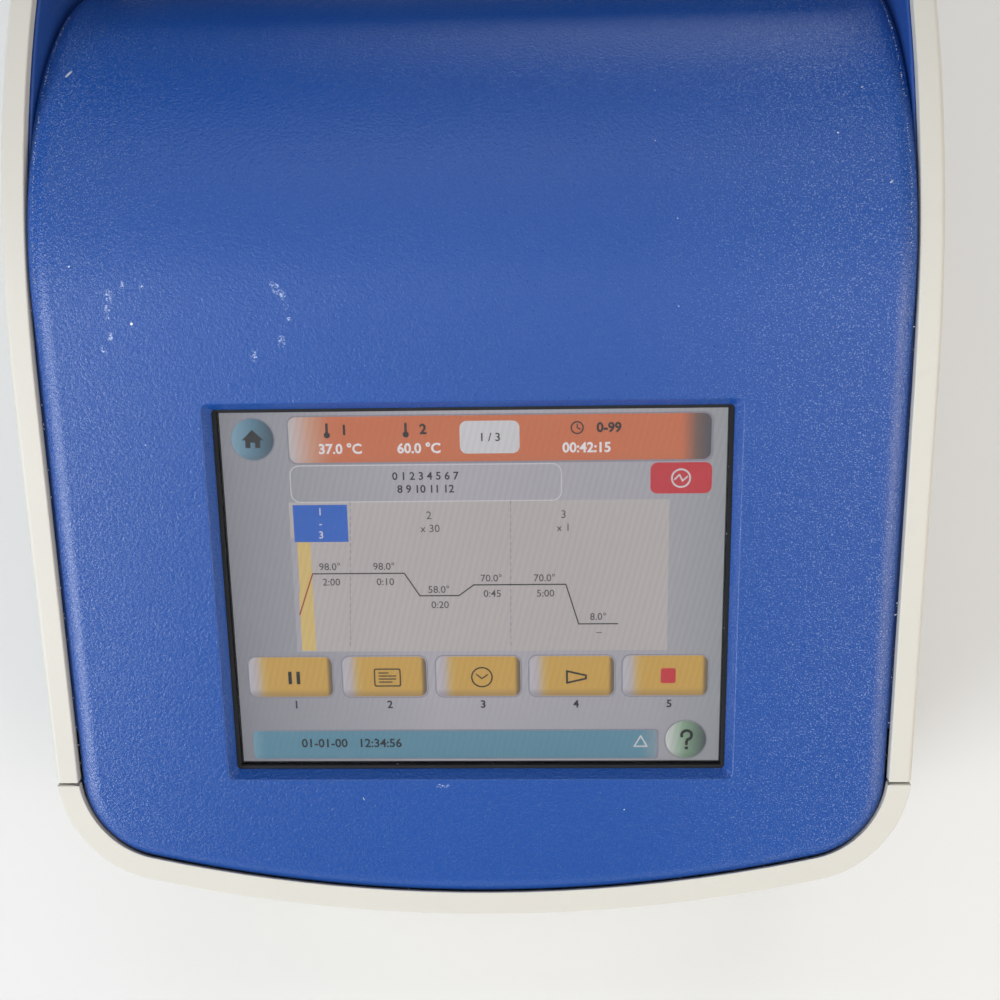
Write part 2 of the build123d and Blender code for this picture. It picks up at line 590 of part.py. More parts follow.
def make_lid_frame():
    """Cast aluminium frame inside the lid, with hinge lugs and latch ears."""
    high = FRAME_LOW + FRAME_PLATE
    frame = block((-101, 101), (LID_FRONT + 4, LID_BACK - LID_WALL - 0.5), (FRAME_LOW, high))
    frame -= block((-22, 22), (BLOCK_Y - 22, BLOCK_Y + 22), (FRAME_LOW - 1, high + 1))
    eye = Pos(HINGE_Y, HINGE_Z) * RegularPolygon(HINGE_EYE, 8)
    heel = Pos(176, (FRAME_LOW + high) / 2) * Rectangle(12, FRAME_PLATE)
    lug = make_hull((eye + heel).edges())
    frame += both_sides(across(lug, LUG_X - 5, LUG_X + 5))
    frame -= both_sides(rod(BRACKET_X - 20, BRACKET_X + 20, HINGE_Y, HINGE_Z, HINGE_PIN + RUNNING))
    tip = Pos(LATCH_Y, LATCH_Z) * RegularPolygon(6.4, 8)
    ear = make_hull((tip + Pos(LATCH_Y, FRAME_LOW) * Rectangle(16, 2)).edges())
    frame += both_sides(across(ear, HOOK_X + 7.5, HOOK_X + 12.5))
    frame -= rod(-102, 102, LATCH_Y, LATCH_Z, LATCH_SHAFT + RUNNING)
    for x, y in guide_places():
        frame -= Pos(x, y, FRAME_LOW) * Box(5.4, 5.4, 4 * FRAME_PLATE)
    return frame


def make_handle_lever():
    """Full-width lever with a drooping grip lip in front and a barrel on the axle."""
    outline = closed(
        Line((LEVER_Y, LEVER_Z + LEVER_BARREL), (16, LEVER_Z + LEVER_BARREL)),
        ThreePointArc((16, LEVER_Z + LEVER_BARREL), (6.2, LEVER_Z + 4.2), (2, LEVER_Z - 5)),
        Line((2, LEVER_Z - 5), (3.5, LEVER_Z - 8.5)),
        Line((3.5, LEVER_Z - 8.5), (7, LEVER_Z - 8.5)),
        ThreePointArc((7, LEVER_Z - 8.5), (10.5, LEVER_Z - 2), (18, LEVER_Z + 1)),
        Line((18, LEVER_Z + 1), (LEVER_Y, LEVER_Z + 1)),
        Line((LEVER_Y, LEVER_Z + 1), (LEVER_Y, LEVER_Z + LEVER_BARREL)),
    )
    lever = across(outline, -LEVER_X, LEVER_X) + rod(-LEVER_X, LEVER_X, LEVER_Y, LEVER_Z, LEVER_BARREL)
    return lever - rod(-LEVER_X - 1, LEVER_X + 1, LEVER_Y, LEVER_Z, LEVER_AXLE)


def make_handle_axle():
    return rod(-LID_X, LID_X, LEVER_Y, LEVER_Z, LEVER_AXLE)


def make_latch_shaft():
    return rod(-101, 101, LATCH_Y, LATCH_Z, LATCH_SHAFT)


def make_latch_hook(side):
    """Steel hook on the latch shaft, with its barb under the strike's bar."""
    eye = Pos(LATCH_Y, LATCH_Z) * RegularPolygon(7, 8)
    top, toe = STRIKE_Z - STRIKE_PIN - 0.4, STRIKE_Z - 10
    shank = polygon(
        (LATCH_Y - 4.5, LATCH_Z), (LATCH_Y + 4.5, LATCH_Z), (LATCH_Y + 1.5, toe), (LATCH_Y - 2.2, toe)
    )
    barb = polygon(
        (STRIKE_Y - 3.5, top), (LATCH_Y - 1, top), (LATCH_Y - 1, toe), (LATCH_Y - 3, toe),
        (STRIKE_Y - 3.5, top - 3),
    )
    hook = across(eye + shank + barb, side * HOOK_X - 2, side * HOOK_X + 2)
    return hook - rod(side * HOOK_X - 3, side * HOOK_X + 3, LATCH_Y, LATCH_Z, LATCH_SHAFT)


def guide_places():
    return [(x, y) for x in (-52, 52) for y in (BLOCK_Y - 32, BLOCK_Y + 32)]


def make_heated_plate():
    """Aluminium plate that presses on the tube caps, with a shallow ridge round its edge."""
    plate = Pos(0, BLOCK_Y, PLATEN_LOW + PLATEN_THICK / 2) * Box(122, 86, PLATEN_THICK)
    plate -= Pos(0, BLOCK_Y, PLATEN_LOW) * Box(112, 76, 1.6)
    return plate


def make_plate_carrier():
    """Plastic ring that holds the heated plate by its edge."""
    return Pos(0, BLOCK_Y, PLATEN_LOW + 3.5) * (Box(129, 93, 5) - Box(122, 86, 6))


def make_heater_mat():
    return Pos(0, BLOCK_Y, PLATEN_LOW + PLATEN_THICK + 0.5) * Box(92, 54, 1.0)


def make_guide_posts():
    """Square posts on the heated plate, with heads that stop it on top of the lid's frame."""
    high, top = FRAME_LOW + FRAME_PLATE, PLATEN_LOW + PLATEN_THICK
    posts = []
    for x, y in guide_places():
        shank = block((x - 2.5, x + 2.5), (y - 2.5, y + 2.5), (top, high + 0.1))
        posts.append(shank + block((x - 4, x + 4), (y - 4, y + 4), (high + 0.1, high + 1.7)))
    return Compound(children=posts)


def make_bow_springs():
    """Two folded leaf springs that press the heated plate down."""
    low, thick = PLATEN_LOW + PLATEN_THICK, 0.6
    half = [(28, low), (24, low), (8, FRAME_LOW - thick)]
    outer = [(28, low + thick), (24.4, low + thick), (8.4, FRAME_LOW)]
    strip = polygon(
        *half, *[(-y, z) for y, z in reversed(half)], *[(-y, z) for y, z in outer], *reversed(outer)
    )
    return Compound(children=[Pos(0, BLOCK_Y, 0) * across(strip, x - 5, x + 5) for x in (-52, 52)])


def make_power_supply():
    """Cased power supply on the base pan, with a vent grid on its rear face."""
    body = block((-90, -14), (20, 190), (PAN_TOP, 66))
    for index in range(6):
        x = -84 + 11 * index
        body -= block((x, x + 6), (186, 191), (24, 58))
    return body


def make_main_board():
    """Control board with its processor, relay, capacitor bank and driver block."""
    board = block((2, 88), (-60, 200), (BOARD_LOW, BOARD_HIGH))
    board += block((14, 44), (-40, -10), (BOARD_HIGH, BOARD_HIGH + 12))
    board += block((54, 80), (-30, 30), (BOARD_HIGH, BOARD_HIGH + 18))
    board += block((14, 28), (40, 110), (BOARD_HIGH, BOARD_HIGH + 26))
    return board + block((44, 82), (60, 90), (BOARD_HIGH, BOARD_HIGH + 9))


def make_board_standoffs():
    places = [(x, y) for x in (8, 82) for y in (-55, 70, 195)]
    return Compound(children=[hex_post(x, y, PAN_TOP, BOARD_LOW, 3.5) for x, y in places])


def make_socket_board():
    """Small board that carries the sockets, on two posts."""
    board = block((36, 98), (205, REAR_PANEL_Y), (SOCKET_Z - 1.6, SOCKET_Z))
    for x in (44, 84):
        board += hex_post(x, 212, PAN_TOP, SOCKET_Z - 1.6, 3.5)
    return board


def make_network_socket():
    back = REAR_PANEL_Y + REAR_SHEET
    socket = block((39, 55), (217, back), (SOCKET_Z, SOCKET_Z + 14))
    return socket - block((41, 53), (back - 12, back + 1), (SOCKET_Z + 3, SOCKET_Z + 12))


def make_usb_sockets():
    back = REAR_PANEL_Y + REAR_SHEET
    sockets = []
    for x in (62, 80):
        shell = block((x, x + 14.5), (222, back), (SOCKET_Z, SOCKET_Z + 7))
        shell -= block((x + 1, x + 13.5), (back - 9, back + 1), (SOCKET_Z + 1, SOCKET_Z + 6))
        shell += block((x + 1.8, x + 12.7), (back - 9, back - 2), (SOCKET_Z + 1, SOCKET_Z + 2.8))
        sockets.append(shell)
    return Compound(children=sockets)


def make_mains_inlet():
    """Three-pin appliance inlet with a drawer slot for the fuses below it."""
    back = REAR_PANEL_Y + REAR_SHEET
    x, z = ENTRY_X, ENTRY_Z
    body = block((x - 24.5, x + 24.5), (206, back), (z - 18.5, z + 18.5))
    body += block((x - 28, x + 28), (back, back + 2.5), (z - 22, z + 22))
    mouth = Rectangle(24.5, 17)
    mouth = chamfer(mouth.vertices().sort_by(Axis.Y)[-2:], 4.5)
    body -= Pos(x, back + 2.5, z + 7) * Rot(90, 0, 0) * extrude(mouth, 16)
    for pin_x, pin_z in ((0, 10), (-7, 5), (7, 5)):
        body += block((x + pin_x - 1, x + pin_x + 1), (back - 14, back - 2.6), (z + pin_z - 2, z + pin_z + 2))
    drawer_low, drawer_high = z - 17, z - 7
    body -= block((x - 14.2, x + 14.2), (back - 24, back + 3), (drawer_low, drawer_high))
    return body


def make_fuse_drawer():
    """Pull-out tray for two fuses, with a finger lip."""
    back = REAR_PANEL_Y + REAR_SHEET
    x, low, high = ENTRY_X, ENTRY_Z - 16.8, ENTRY_Z - 7.2
    tray = block((x - 14, x + 14), (back - 23, back + 2.5), (low, high))
    tray -= block((x - 12, x + 12), (back - 21.5, back - 6), (low + 1.6, high + 1))
    tray += block((x - 5, x + 5), (back + 2.5, back + 3.6), (high - 3, high))
    return tray


def make_mains_fuses():
    back = REAR_PANEL_Y + REAR_SHEET
    fuse = across(RegularPolygon(2.5, 8), ENTRY_X - 10, ENTRY_X + 10)
    return Compound(children=[Pos(0, y, ENTRY_Z - 12.7) * fuse for y in (back - 17.6, back - 9.9)])


def make_rocker_frame():
    """Switch housing that snaps into the rear sheet, with bearings for the rocker."""
    back = REAR_PANEL_Y + REAR_SHEET
    x, z = ROCKER_X, ENTRY_Z
    frame = block((x - 8.8, x + 8.8), (218, back), (z - 12.8, z + 12.8))
    frame += block((x - 10.5, x + 10.5), (back, back + 2), (z - 15, z + 15))
    frame -= block((x - 6.5, x + 6.5), (back - 9, back + 3), (z - 10.6, z + 10.6))
    return frame - rod(x - 7.6, x + 7.6, back - 1, z, ROCKER_PIVOT + RUNNING)


def make_power_rocker():
    """Rocker key: a bar with two sloped faces and two pivots, tipped to its off position."""
    back = REAR_PANEL_Y + REAR_SHEET
    key = polygon((-6, 9.8), (0.6, 9.8), (3.2, 0), (0.6, -9.8), (-6, -9.8), (-7.5, -4), (-7.5, 4))
    tipped = Pos(back - 1, ENTRY_Z) * Rot(0, 0, 7) * key
    pivots = rod(ROCKER_X - 7.4, ROCKER_X + 7.4, back - 1, ENTRY_Z, ROCKER_PIVOT)
    return across(tipped, ROCKER_X - 6.2, ROCKER_X + 6.2) + pivots


def make_cover_screws():
    """Hexagon-head screws that hold the rear sheet."""
    head = Rot(-90, 0, 0) * extrude(RegularPolygon(3.6, 6), 2.2)
    places = [(x, z) for x in (-106, 106) for z in (32, 110, 182)]
    return Compound(children=[Pos(x, REAR_PANEL_Y + REAR_SHEET, z) * head for x, z in places])


NODES = {
    "front_bumper": make_front_bumper(),
    "side_panel_left": make_side_panel(-1),
    "side_panel_right": make_side_panel(1),
    "front_panel": make_front_panel(),
    "screen_gasket": make_screen_gasket(),
    "touch_glass": make_touch_glass(),
    "lcd_module": make_lcd_module(),
    "screen_bracket": make_screen_bracket(),
    "bracket_screws": make_bracket_screws(),
    "display_board": make_display_board(),
    "lid_well": make_lid_well(),
    "chassis_deck": make_chassis_deck(),
    "chassis_side_left": make_chassis_side(-1),
    "chassis_side_right": make_chassis_side(1),
    "sample_block": make_sample_block(),
    "block_seal": make_block_seal(),
    "peltier_modules": make_peltier_modules(),
    "heat_sink": make_heat_sink(),
    "sink_posts": make_sink_posts(),
    "air_duct": make_air_duct(),
    "fan_frame": make_fan_frame(),
    "fan_rotor": make_fan_rotor(),
    "base_pan": make_base_pan(),
    "rubber_feet": make_rubber_feet(),
    "rear_panel": make_rear_panel(),
    "rear_top_cover": make_rear_top_cover(),
    "hinge_bracket_left": make_hinge_bracket(-1),
    "hinge_bracket_right": make_hinge_bracket(1),
    "hinge_pin_left": make_hinge_pin(-1),
    "hinge_pin_right": make_hinge_pin(1),
    "latch_strike_left": make_latch_strike(-1),
    "latch_strike_right": make_latch_strike(1),
    "lid_cover": make_lid_cover(),
    "lid_liner": make_lid_liner(),
    "lid_frame": make_lid_frame(),
    "handle_lever": make_handle_lever(),
    "handle_axle": make_handle_axle(),
    "latch_shaft": make_latch_shaft(),
    "latch_hook_left": make_latch_hook(-1),
    "latch_hook_right": make_latch_hook(1),
    "heated_plate": make_heated_plate(),
    "plate_carrier": make_plate_carrier(),
    "heater_mat": make_heater_mat(),
    "guide_posts": make_guide_posts(),
    "bow_springs": make_bow_springs(),
    "power_supply": make_power_supply(),
    "main_board": make_main_board(),
    "board_standoffs": make_board_standoffs(),
    "socket_board": make_socket_board(),
    "network_socket": make_network_socket(),
    "usb_sockets": make_usb_sockets(),
    "mains_inlet": make_mains_inlet(),
    "fuse_drawer": make_fuse_drawer(),
    "mains_fuses": make_mains_fuses(),
    "rocker_frame": make_rocker_frame(),
    "power_rocker": make_power_rocker(),
    "cover_screws": make_cover_screws(),
}

os.makedirs("parts", exist_ok=True)
for name, solid in NODES.items():
    export_step(solid, f"parts/{name}.step")
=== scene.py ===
"""Looks of a bench-top thermal cycler: finishes, screen page and rounded shells around its frame."""

import json
import logging
import math
import random
from dataclasses import dataclass, field
from enum import Enum
from typing import Any, ClassVar, Iterable, Sequence

import bmesh
import bpy
from mathutils import Matrix, Vector

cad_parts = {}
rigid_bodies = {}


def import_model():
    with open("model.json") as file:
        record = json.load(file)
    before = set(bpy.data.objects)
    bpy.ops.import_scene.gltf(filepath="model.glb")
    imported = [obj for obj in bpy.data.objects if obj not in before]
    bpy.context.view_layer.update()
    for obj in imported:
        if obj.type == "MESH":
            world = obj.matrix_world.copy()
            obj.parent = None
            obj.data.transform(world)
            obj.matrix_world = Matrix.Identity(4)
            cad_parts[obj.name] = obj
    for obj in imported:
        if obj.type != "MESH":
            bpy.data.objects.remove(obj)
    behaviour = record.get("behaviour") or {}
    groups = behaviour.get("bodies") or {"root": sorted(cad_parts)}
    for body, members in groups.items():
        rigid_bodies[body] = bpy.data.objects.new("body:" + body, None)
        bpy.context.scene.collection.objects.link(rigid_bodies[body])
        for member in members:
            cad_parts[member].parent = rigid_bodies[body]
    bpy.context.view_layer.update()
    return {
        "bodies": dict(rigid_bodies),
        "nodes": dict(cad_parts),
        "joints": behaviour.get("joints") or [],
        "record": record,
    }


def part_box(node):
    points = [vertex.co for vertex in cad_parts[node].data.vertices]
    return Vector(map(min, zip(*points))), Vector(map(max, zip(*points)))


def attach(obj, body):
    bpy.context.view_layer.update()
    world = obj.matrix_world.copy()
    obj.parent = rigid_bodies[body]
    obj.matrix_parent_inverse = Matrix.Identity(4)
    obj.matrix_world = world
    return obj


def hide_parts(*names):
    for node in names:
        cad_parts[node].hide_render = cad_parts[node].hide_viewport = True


log = logging.getLogger("thermal_cycler")

MM = 0.001
Colour = tuple[float, float, float]
Point2 = tuple[float, float]
Box2 = tuple[float, float, float, float]


def turns(steps: int) -> list[float]:
    """Evenly spaced angles of one full turn."""
    return [2 * math.pi * index / steps for index in range(steps)]


def circle_at(place: Matrix, radius: float, height: float, steps: int) -> list[Vector]:
    """Points of a circle about the place's Z axis."""
    return [place @ Vector((radius * math.cos(a), radius * math.sin(a), height)) for a in turns(steps)]


class Axis3(Enum):
    """Stretch of the streaks on a drawn or brushed surface, by the axis that they follow."""

    X = (1.0, 40.0, 40.0)
    Y = (40.0, 1.0, 40.0)
    Z = (40.0, 40.0, 1.0)


class Body(str, Enum):
    """Bodies of the frame that pieces ride on."""

    BASE = "base"
    LID = "lid"
    PLATEN = "platen"
    HANDLE = "handle"
    LATCH = "latch"
    FAN = "fan"
    ROCKER = "rocker"
    FUSE = "fuse"


class Wire:
    """A shader socket that takes part in Python expressions."""

    def __init__(self, graph: "Graph", socket: bpy.types.NodeSocket) -> None:
        """Keep the graph and the output socket."""
        self.graph = graph
        self.socket = socket

    def _join(self, operation: str, first: Any, second: Any) -> "Wire":
        """Add one Math node for an operator."""
        return self.graph.node("ShaderNodeMath", {"operation": operation}, {0: first, 1: second})

    def __add__(self, other: Any) -> "Wire":
        """Sum."""
        return self._join("ADD", self, other)

    def __sub__(self, other: Any) -> "Wire":
        """Difference."""
        return self._join("SUBTRACT", self, other)

    def __rsub__(self, other: Any) -> "Wire":
        """Difference from a number, as in 1 - mask."""
        return self._join("SUBTRACT", other, self)

    def __mul__(self, other: Any) -> "Wire":
        """Product."""
        return self._join("MULTIPLY", self, other)

    def __truediv__(self, other: Any) -> "Wire":
        """Quotient."""
        return self._join("DIVIDE", self, other)

    __radd__ = __add__
    __rmul__ = __mul__

    def ramp(self, low: float, high: float) -> "Wire":
        """Smooth step of this value.

        Args:
            low: value that becomes 0.
            high: value that becomes 1.

        Returns:
            The value between 0 and 1, eased at both ends.
        """
        settings = {"interpolation_type": "SMOOTHSTEP"}
        return self.graph.node("ShaderNodeMapRange", settings, {"Value": self, 1: low, 2: high})

    def most(self, other: Any) -> "Wire":
        """The larger of two values."""
        return self._join("MAXIMUM", self, other)


class Graph:
    """Builds the nodes of one material or of the surroundings.

    MIX_INPUTS are a colour Mix node's factor, first colour and second colour, and MIX_OUTPUT is its result.
    """

    MIX_INPUTS = (0, 6, 7)
    MIX_OUTPUT = 2

    def __init__(self, holder: bpy.types.Material | bpy.types.World) -> None:
        """Start with an empty node tree.

        Args:
            holder: the material or the world that takes the nodes.
        """
        self.holder = holder
        holder.use_nodes = True
        self.tree = holder.node_tree
        self.tree.nodes.clear()

    @classmethod
    def material(cls, name: str) -> "Graph":
        """Graph of a new material."""
        return cls(bpy.data.materials.new(name))

    def node(self, kind: str, settings: dict[str, Any], sockets: dict[Any, Any], output: Any = 0) -> Wire:
        """Add a node of any type.

        Args:
            kind: the node's type.
            settings: its properties, set first; "stops" fills a colour ramp.
            sockets: values or wires for its inputs, by name or number.
            output: the output that is handed back.

        Returns:
            The chosen output as a wire.
        """
        made = self.tree.nodes.new(kind)
        for key, value in settings.items():
            if key == "stops":
                self._fill_ramp(made.color_ramp, value)
            else:
                setattr(made, key, value)
        for key, value in sockets.items():
            target = made.inputs[key]
            if isinstance(value, Wire):
                self.tree.links.new(value.socket, target)
            elif isinstance(value, tuple) and len(value) == 3 and target.type == "RGBA":
                target.default_value = (*value, 1.0)
            else:
                target.default_value = value
        return Wire(self, made.outputs[output] if made.outputs else None)

    @staticmethod
    def _fill_ramp(ramp: bpy.types.ColorRamp, stops: Sequence[tuple[float, Colour]]) -> None:
        """Set a ramp's stops.

        Args:
            ramp: the colour ramp.
            stops: (position, colour) pairs from left to right.
        """
        while len(ramp.elements) < len(stops):
            ramp.elements.new(0.5)
        for element, (place, colour) in zip(ramp.elements, stops):
            element.position = place
            element.color = (*colour, 1.0)

    def place(self, stretch: Colour = (1.0, 1.0, 1.0)) -> Wire:
        """Position on the object in metres, scaled by the stretch."""
        spot = self.node("ShaderNodeTexCoord", {}, {}, "Object")
        return self.node("ShaderNodeVectorMath", {"operation": "MULTIPLY"}, {0: spot, 1: stretch})

    def noise(self, where: Wire, per_metre: float, detail: float = 2.0, rough: float = 0.5) -> Wire:
        """Fractal noise with so many features to the metre."""
        sockets = {"Vector": where, "Scale": per_metre, "Detail": detail, "Roughness": rough}
        return self.node("ShaderNodeTexNoise", {}, sockets)

    def cells(self, where: Wire, per_metre: float, output: str = "Distance") -> Wire:
        """Voronoi cells: distance to the cell's centre, or the cell's own colour."""
        return self.node("ShaderNodeTexVoronoi", {}, {"Vector": where, "Scale": per_metre}, output)

    def ripple(self, across: Colour = (0.97, -0.19, -0.15), period_mm: float = 1.6) -> Wire:
        """Fine bands of a lit display.

        Args:
            across: direction on the object in which the bands follow each other.
            period_mm: distance from one band to the next.

        Returns:
            A wave between 0 and 1.
        """
        spot = self.node("ShaderNodeTexCoord", {}, {}, "Object")
        along = self.node("ShaderNodeVectorMath", {"operation": "DOT_PRODUCT"}, {0: spot, 1: across}, "Value")
        phase = along * (2 * math.pi / (period_mm * MM))
        return self.node("ShaderNodeMath", {"operation": "SINE"}, {0: phase}) * 0.5 + 0.5

    def mix(self, mask: Any, first: Any, second: Any) -> Wire:
        """Colour mix: first where the mask is 0, second where it is 1."""
        sockets = dict(zip(self.MIX_INPUTS, (mask, first, second)))
        return self.node("ShaderNodeMix", {"data_type": "RGBA"}, sockets, self.MIX_OUTPUT)

    def near(self, spot: Wire, centre: Colour, reach: Colour) -> Wire:
        """Mask round a point.

        Args:
            spot: position on the object.
            centre: the point, in metres.
            reach: radius of the mask along each axis, in metres.

        Returns:
            1 at the centre, falling to 0 at the reach.
        """
        offset = self.node("ShaderNodeVectorMath", {"operation": "SUBTRACT"}, {0: spot, 1: centre})
        scaled = self.node("ShaderNodeVectorMath", {"operation": "DIVIDE"}, {0: offset, 1: reach})
        far = self.node("ShaderNodeVectorMath", {"operation": "LENGTH"}, {0: scaled}, "Value")
        core = 0.35
        return far.ramp(1.0, core)

    def bump(self, height: Wire, depth_mm: float, strength: float = 1.0) -> Wire:
        """Normal of a relief whose full height is depth_mm."""
        sockets = {"Height": height, "Distance": depth_mm * MM, "Strength": strength}
        return self.node("ShaderNodeBump", {}, sockets)

    def finish(self, **sockets: Any) -> bpy.types.Material:
        """Close the graph with one shader.

        Args:
            **sockets: its inputs, with underscores for spaces.

        Returns:
            The finished material.
        """
        named = {key.replace("_", " "): value for key, value in sockets.items()}
        shader = self.node("ShaderNodeBsdfPrincipled", {}, named)
        self.node("ShaderNodeOutputMaterial", {"target": "ALL"}, {"Surface": shader})
        return self.holder


def shade(colour: Colour, factor: float) -> Colour:
    """A colour made lighter or darker by a factor, with each part at most 1."""
    return tuple(min(1.0, part * factor) for part in colour)


def srgb(red: int, green: int, blue: int) -> Colour:
    """Linear colour from 8-bit screen values."""
    parts = (value / 255 for value in (red, green, blue))
    return tuple(p / 12.92 if p <= 0.04045 else ((p + 0.055) / 1.055) ** 2.4 for p in parts)


@dataclass(frozen=True)
class Finish:
    """A finish that makes its material once."""

    name: str
    made: ClassVar[dict[str, bpy.types.Material]] = {}

    def material(self) -> bpy.types.Material:
        """The finish's material, built on first use.

        Returns:
            The one material that all pieces with this finish share.
        """
        if self.name not in Finish.made:
            Finish.made[self.name] = self.build()
        return Finish.made[self.name]

    def build(self) -> bpy.types.Material:
        """Make the material; each finish has its own way."""
        raise NotImplementedError


@dataclass(frozen=True)
class Moulding(Finish):
    """Matt moulded plastic with a fine spark-eroded grain, slight mottling and rubbed-in dirt."""

    colour: Colour = (0.7, 0.7, 0.7)
    rough: float = 0.5
    grain: float = 1900.0
    depth: float = 0.05
    dirt: float = 0.25

    def build(self) -> bpy.types.Material:
        """Build the moulded finish.

        Returns:
            The plastic with its grain and dirt.
        """
        graph = Graph.material(self.name)
        spot = graph.place()
        cloud = graph.noise(spot, 26.0, 3.0)
        grain = graph.noise(spot, self.grain, 3.0, 0.6)
        mottle = graph.mix(cloud, shade(self.colour, 0.955), shade(self.colour, 1.03))
        smear = graph.noise(spot, 95.0, 5.0, 0.65).ramp(0.60, 0.78) * self.dirt
        toned = graph.mix(smear, mottle, shade(self.colour, 0.80))
        fleck = grain.ramp(0.62, 0.74) * 0.35
        return graph.finish(
            Base_Color=graph.mix(fleck, toned, shade(self.colour, 0.88)),
            Roughness=self.rough + (cloud - 0.5) * 0.12 + smear * 0.10,
            Normal=graph.bump(grain, self.depth),
        )


@dataclass(frozen=True)
class BlueLacquer(Finish):
    """Blue lacquer over a leathery moulding, with painted glints on its grain, stray dust, scuffs and chips.

    Scuffs and chips are (centre, reach) pairs in metres, and specks is the number of dust cells to the metre.
    """

    colour: Colour = (0.03, 0.09, 0.34)
    rough: float = 0.36
    depth: float = 0.12
    # Strength of the painted glints, pale flecks painted on the grain as highlights.
    painted_glint: float = 0.30
    scuffs: tuple[tuple[Colour, Colour], ...] = ()
    chips: tuple[tuple[Colour, Colour], ...] = ()
    # Colour of the dust and scuffs, and of the painted glints.
    pale: Colour = srgb(176, 190, 224)
    bare: Colour = srgb(222, 224, 224)
    specks: float = 190.0

    def build(self) -> bpy.types.Material:
        """Build the lacquer.

        Returns:
            The lacquer with its painted glints, dust and wear.
        """
        graph = Graph.material(self.name)
        spot = graph.place()
        cloud = graph.noise(spot, 9.0, 3.0)
        pebble = graph.noise(spot, 1150.0, 2.0, 0.55)
        fine = graph.noise(spot, 2700.0, 1.0, 0.5)
        tone = graph.mix(cloud, shade(self.colour, 0.90), shade(self.colour, 1.08))
        # Painted glints: the peaks of the fine grain are painted pale as highlights, more so towards both sides of the
        # panel.
        across = graph.node("ShaderNodeSeparateXYZ", {}, {0: spot}, "X")
        from_middle = graph.node("ShaderNodeMath", {"operation": "ABSOLUTE"}, {0: across + 0.012})
        painted_glints = fine.ramp(0.55, 0.70) * (from_middle.ramp(0.045, 0.115) * 0.85 + 0.15)
        tone = graph.mix(painted_glints * self.painted_glint, tone, self.pale)
        # One cell in seven holds a speck of dust.
        chosen = graph.node("ShaderNodeSeparateColor", {}, {0: graph.cells(spot, self.specks, "Color")}, "Red")
        dust = chosen.ramp(0.86, 0.87) * (1 - graph.cells(spot, self.specks).ramp(0.020, 0.042))
        tone = graph.mix(dust * 0.8, tone, self.pale)
        rubbed = graph.noise(spot, 1500.0, 4.0, 0.7).ramp(0.50, 0.58)
        for centre, reach in self.scuffs:
            tone = graph.mix(graph.near(spot, centre, reach) * rubbed * 0.8, tone, self.pale)
        for centre, reach in self.chips:
            tone = graph.mix(graph.near(spot, centre, reach).ramp(0.1, 0.5), tone, self.bare)
        return graph.finish(
            Base_Color=tone,
            Roughness=self.rough + (pebble - 0.5) * 0.30 + dust * 0.2,
            Normal=graph.bump(pebble + fine * 0.6, self.depth),
            Coat_Weight=0.08,
            Coat_Roughness=0.34,
        )


@dataclass(frozen=True)
class Metal(Finish):
    """Worked metal with streaks along one direction and light tarnish."""

    colour: Colour = (0.6, 0.6, 0.62)
    rough: float = 0.34
    along: Axis3 = Axis3.X
    streak: float = 0.18
    tarnish: float = 0.3

    def build(self) -> bpy.types.Material:
        """Build the metal.

        Returns:
            The metal with its streaks and tarnish.
        """
        graph = Graph.material(self.name)
        spot = graph.place()
        streaks = graph.noise(graph.place(self.along.value), 60.0, 4.0, 0.6)
        cloud = graph.noise(spot, 34.0, 4.0, 0.6)
        stain = cloud.ramp(0.52, 0.75) * self.tarnish
        tone = graph.mix(streaks, shade(self.colour, 0.90), shade(self.colour, 1.06))
        return graph.finish(
            Base_Color=graph.mix(stain, tone, shade(self.colour, 0.72)),
            Metallic=1.0,
            Roughness=self.rough + (streaks - 0.5) * self.streak + stain * 0.12,
            Normal=graph.bump(streaks, 0.02),
        )


@dataclass(frozen=True)
class SoftRubber(Finish):
    """Rubber or foam with a dusty bloom."""

    colour: Colour = (0.02, 0.02, 0.02)
    rough: float = 0.75
    bloom: float = 0.3

    def build(self) -> bpy.types.Material:
        """Build the rubber.

        Returns:
            The rubber with its pores and bloom.
        """
        graph = Graph.material(self.name)
        spot = graph.place()
        cloud = graph.noise(spot, 120.0, 4.0, 0.65)
        pores = graph.noise(spot, 1500.0, 3.0)
        dusty = cloud.ramp(0.45, 0.75) * self.bloom
        return graph.finish(
            Base_Color=graph.mix(dusty, self.colour, shade(self.colour, 3.0)),
            Roughness=self.rough + (pores - 0.5) * 0.15,
            Normal=graph.bump(pores, 0.05),
        )


@dataclass(frozen=True)
class SolderMask(Finish):
    """Green circuit board with copper tracks under the mask and small pads."""

    colour: Colour = (0.01, 0.12, 0.05)

    def build(self) -> bpy.types.Material:
        """Build the board's finish.

        Returns:
            The mask with its tracks and pads.
        """
        graph = Graph.material(self.name)
        spot = graph.place()
        settings = {"distance": "CHEBYCHEV"}
        track = graph.node("ShaderNodeTexVoronoi", settings, {"Vector": spot, "Scale": 210.0}, "Distance")
        pads = 1 - graph.cells(spot, 330.0).ramp(0.10, 0.14)
        lines = track.ramp(0.42, 0.47) * 0.6
        tone = graph.mix(lines, self.colour, shade(self.colour, 2.2))
        return graph.finish(
            Base_Color=graph.mix(pads, tone, (0.55, 0.50, 0.38)),
            Roughness=0.42 - pads * 0.12,
            Metallic=pads * 0.8,
            Normal=graph.bump(lines, 0.04),
        )


@dataclass(frozen=True)
class TouchGlass(Finish):
    """Clear touch glass with faint finger smears."""

    def build(self) -> bpy.types.Material:
        """Build the glass.

        Returns:
            The clear glass with its smears.
        """
        graph = Graph.material(self.name)
        smears = graph.noise(graph.place((1.0, 2.2, 1.0)), 70.0, 5.0, 0.7).ramp(0.48, 0.72)
        return graph.finish(
            Base_Color=(0.96, 0.97, 0.98),
            Roughness=smears * 0.10 + 0.04,
            Transmission_Weight=1.0,
            IOR=1.46,
        )


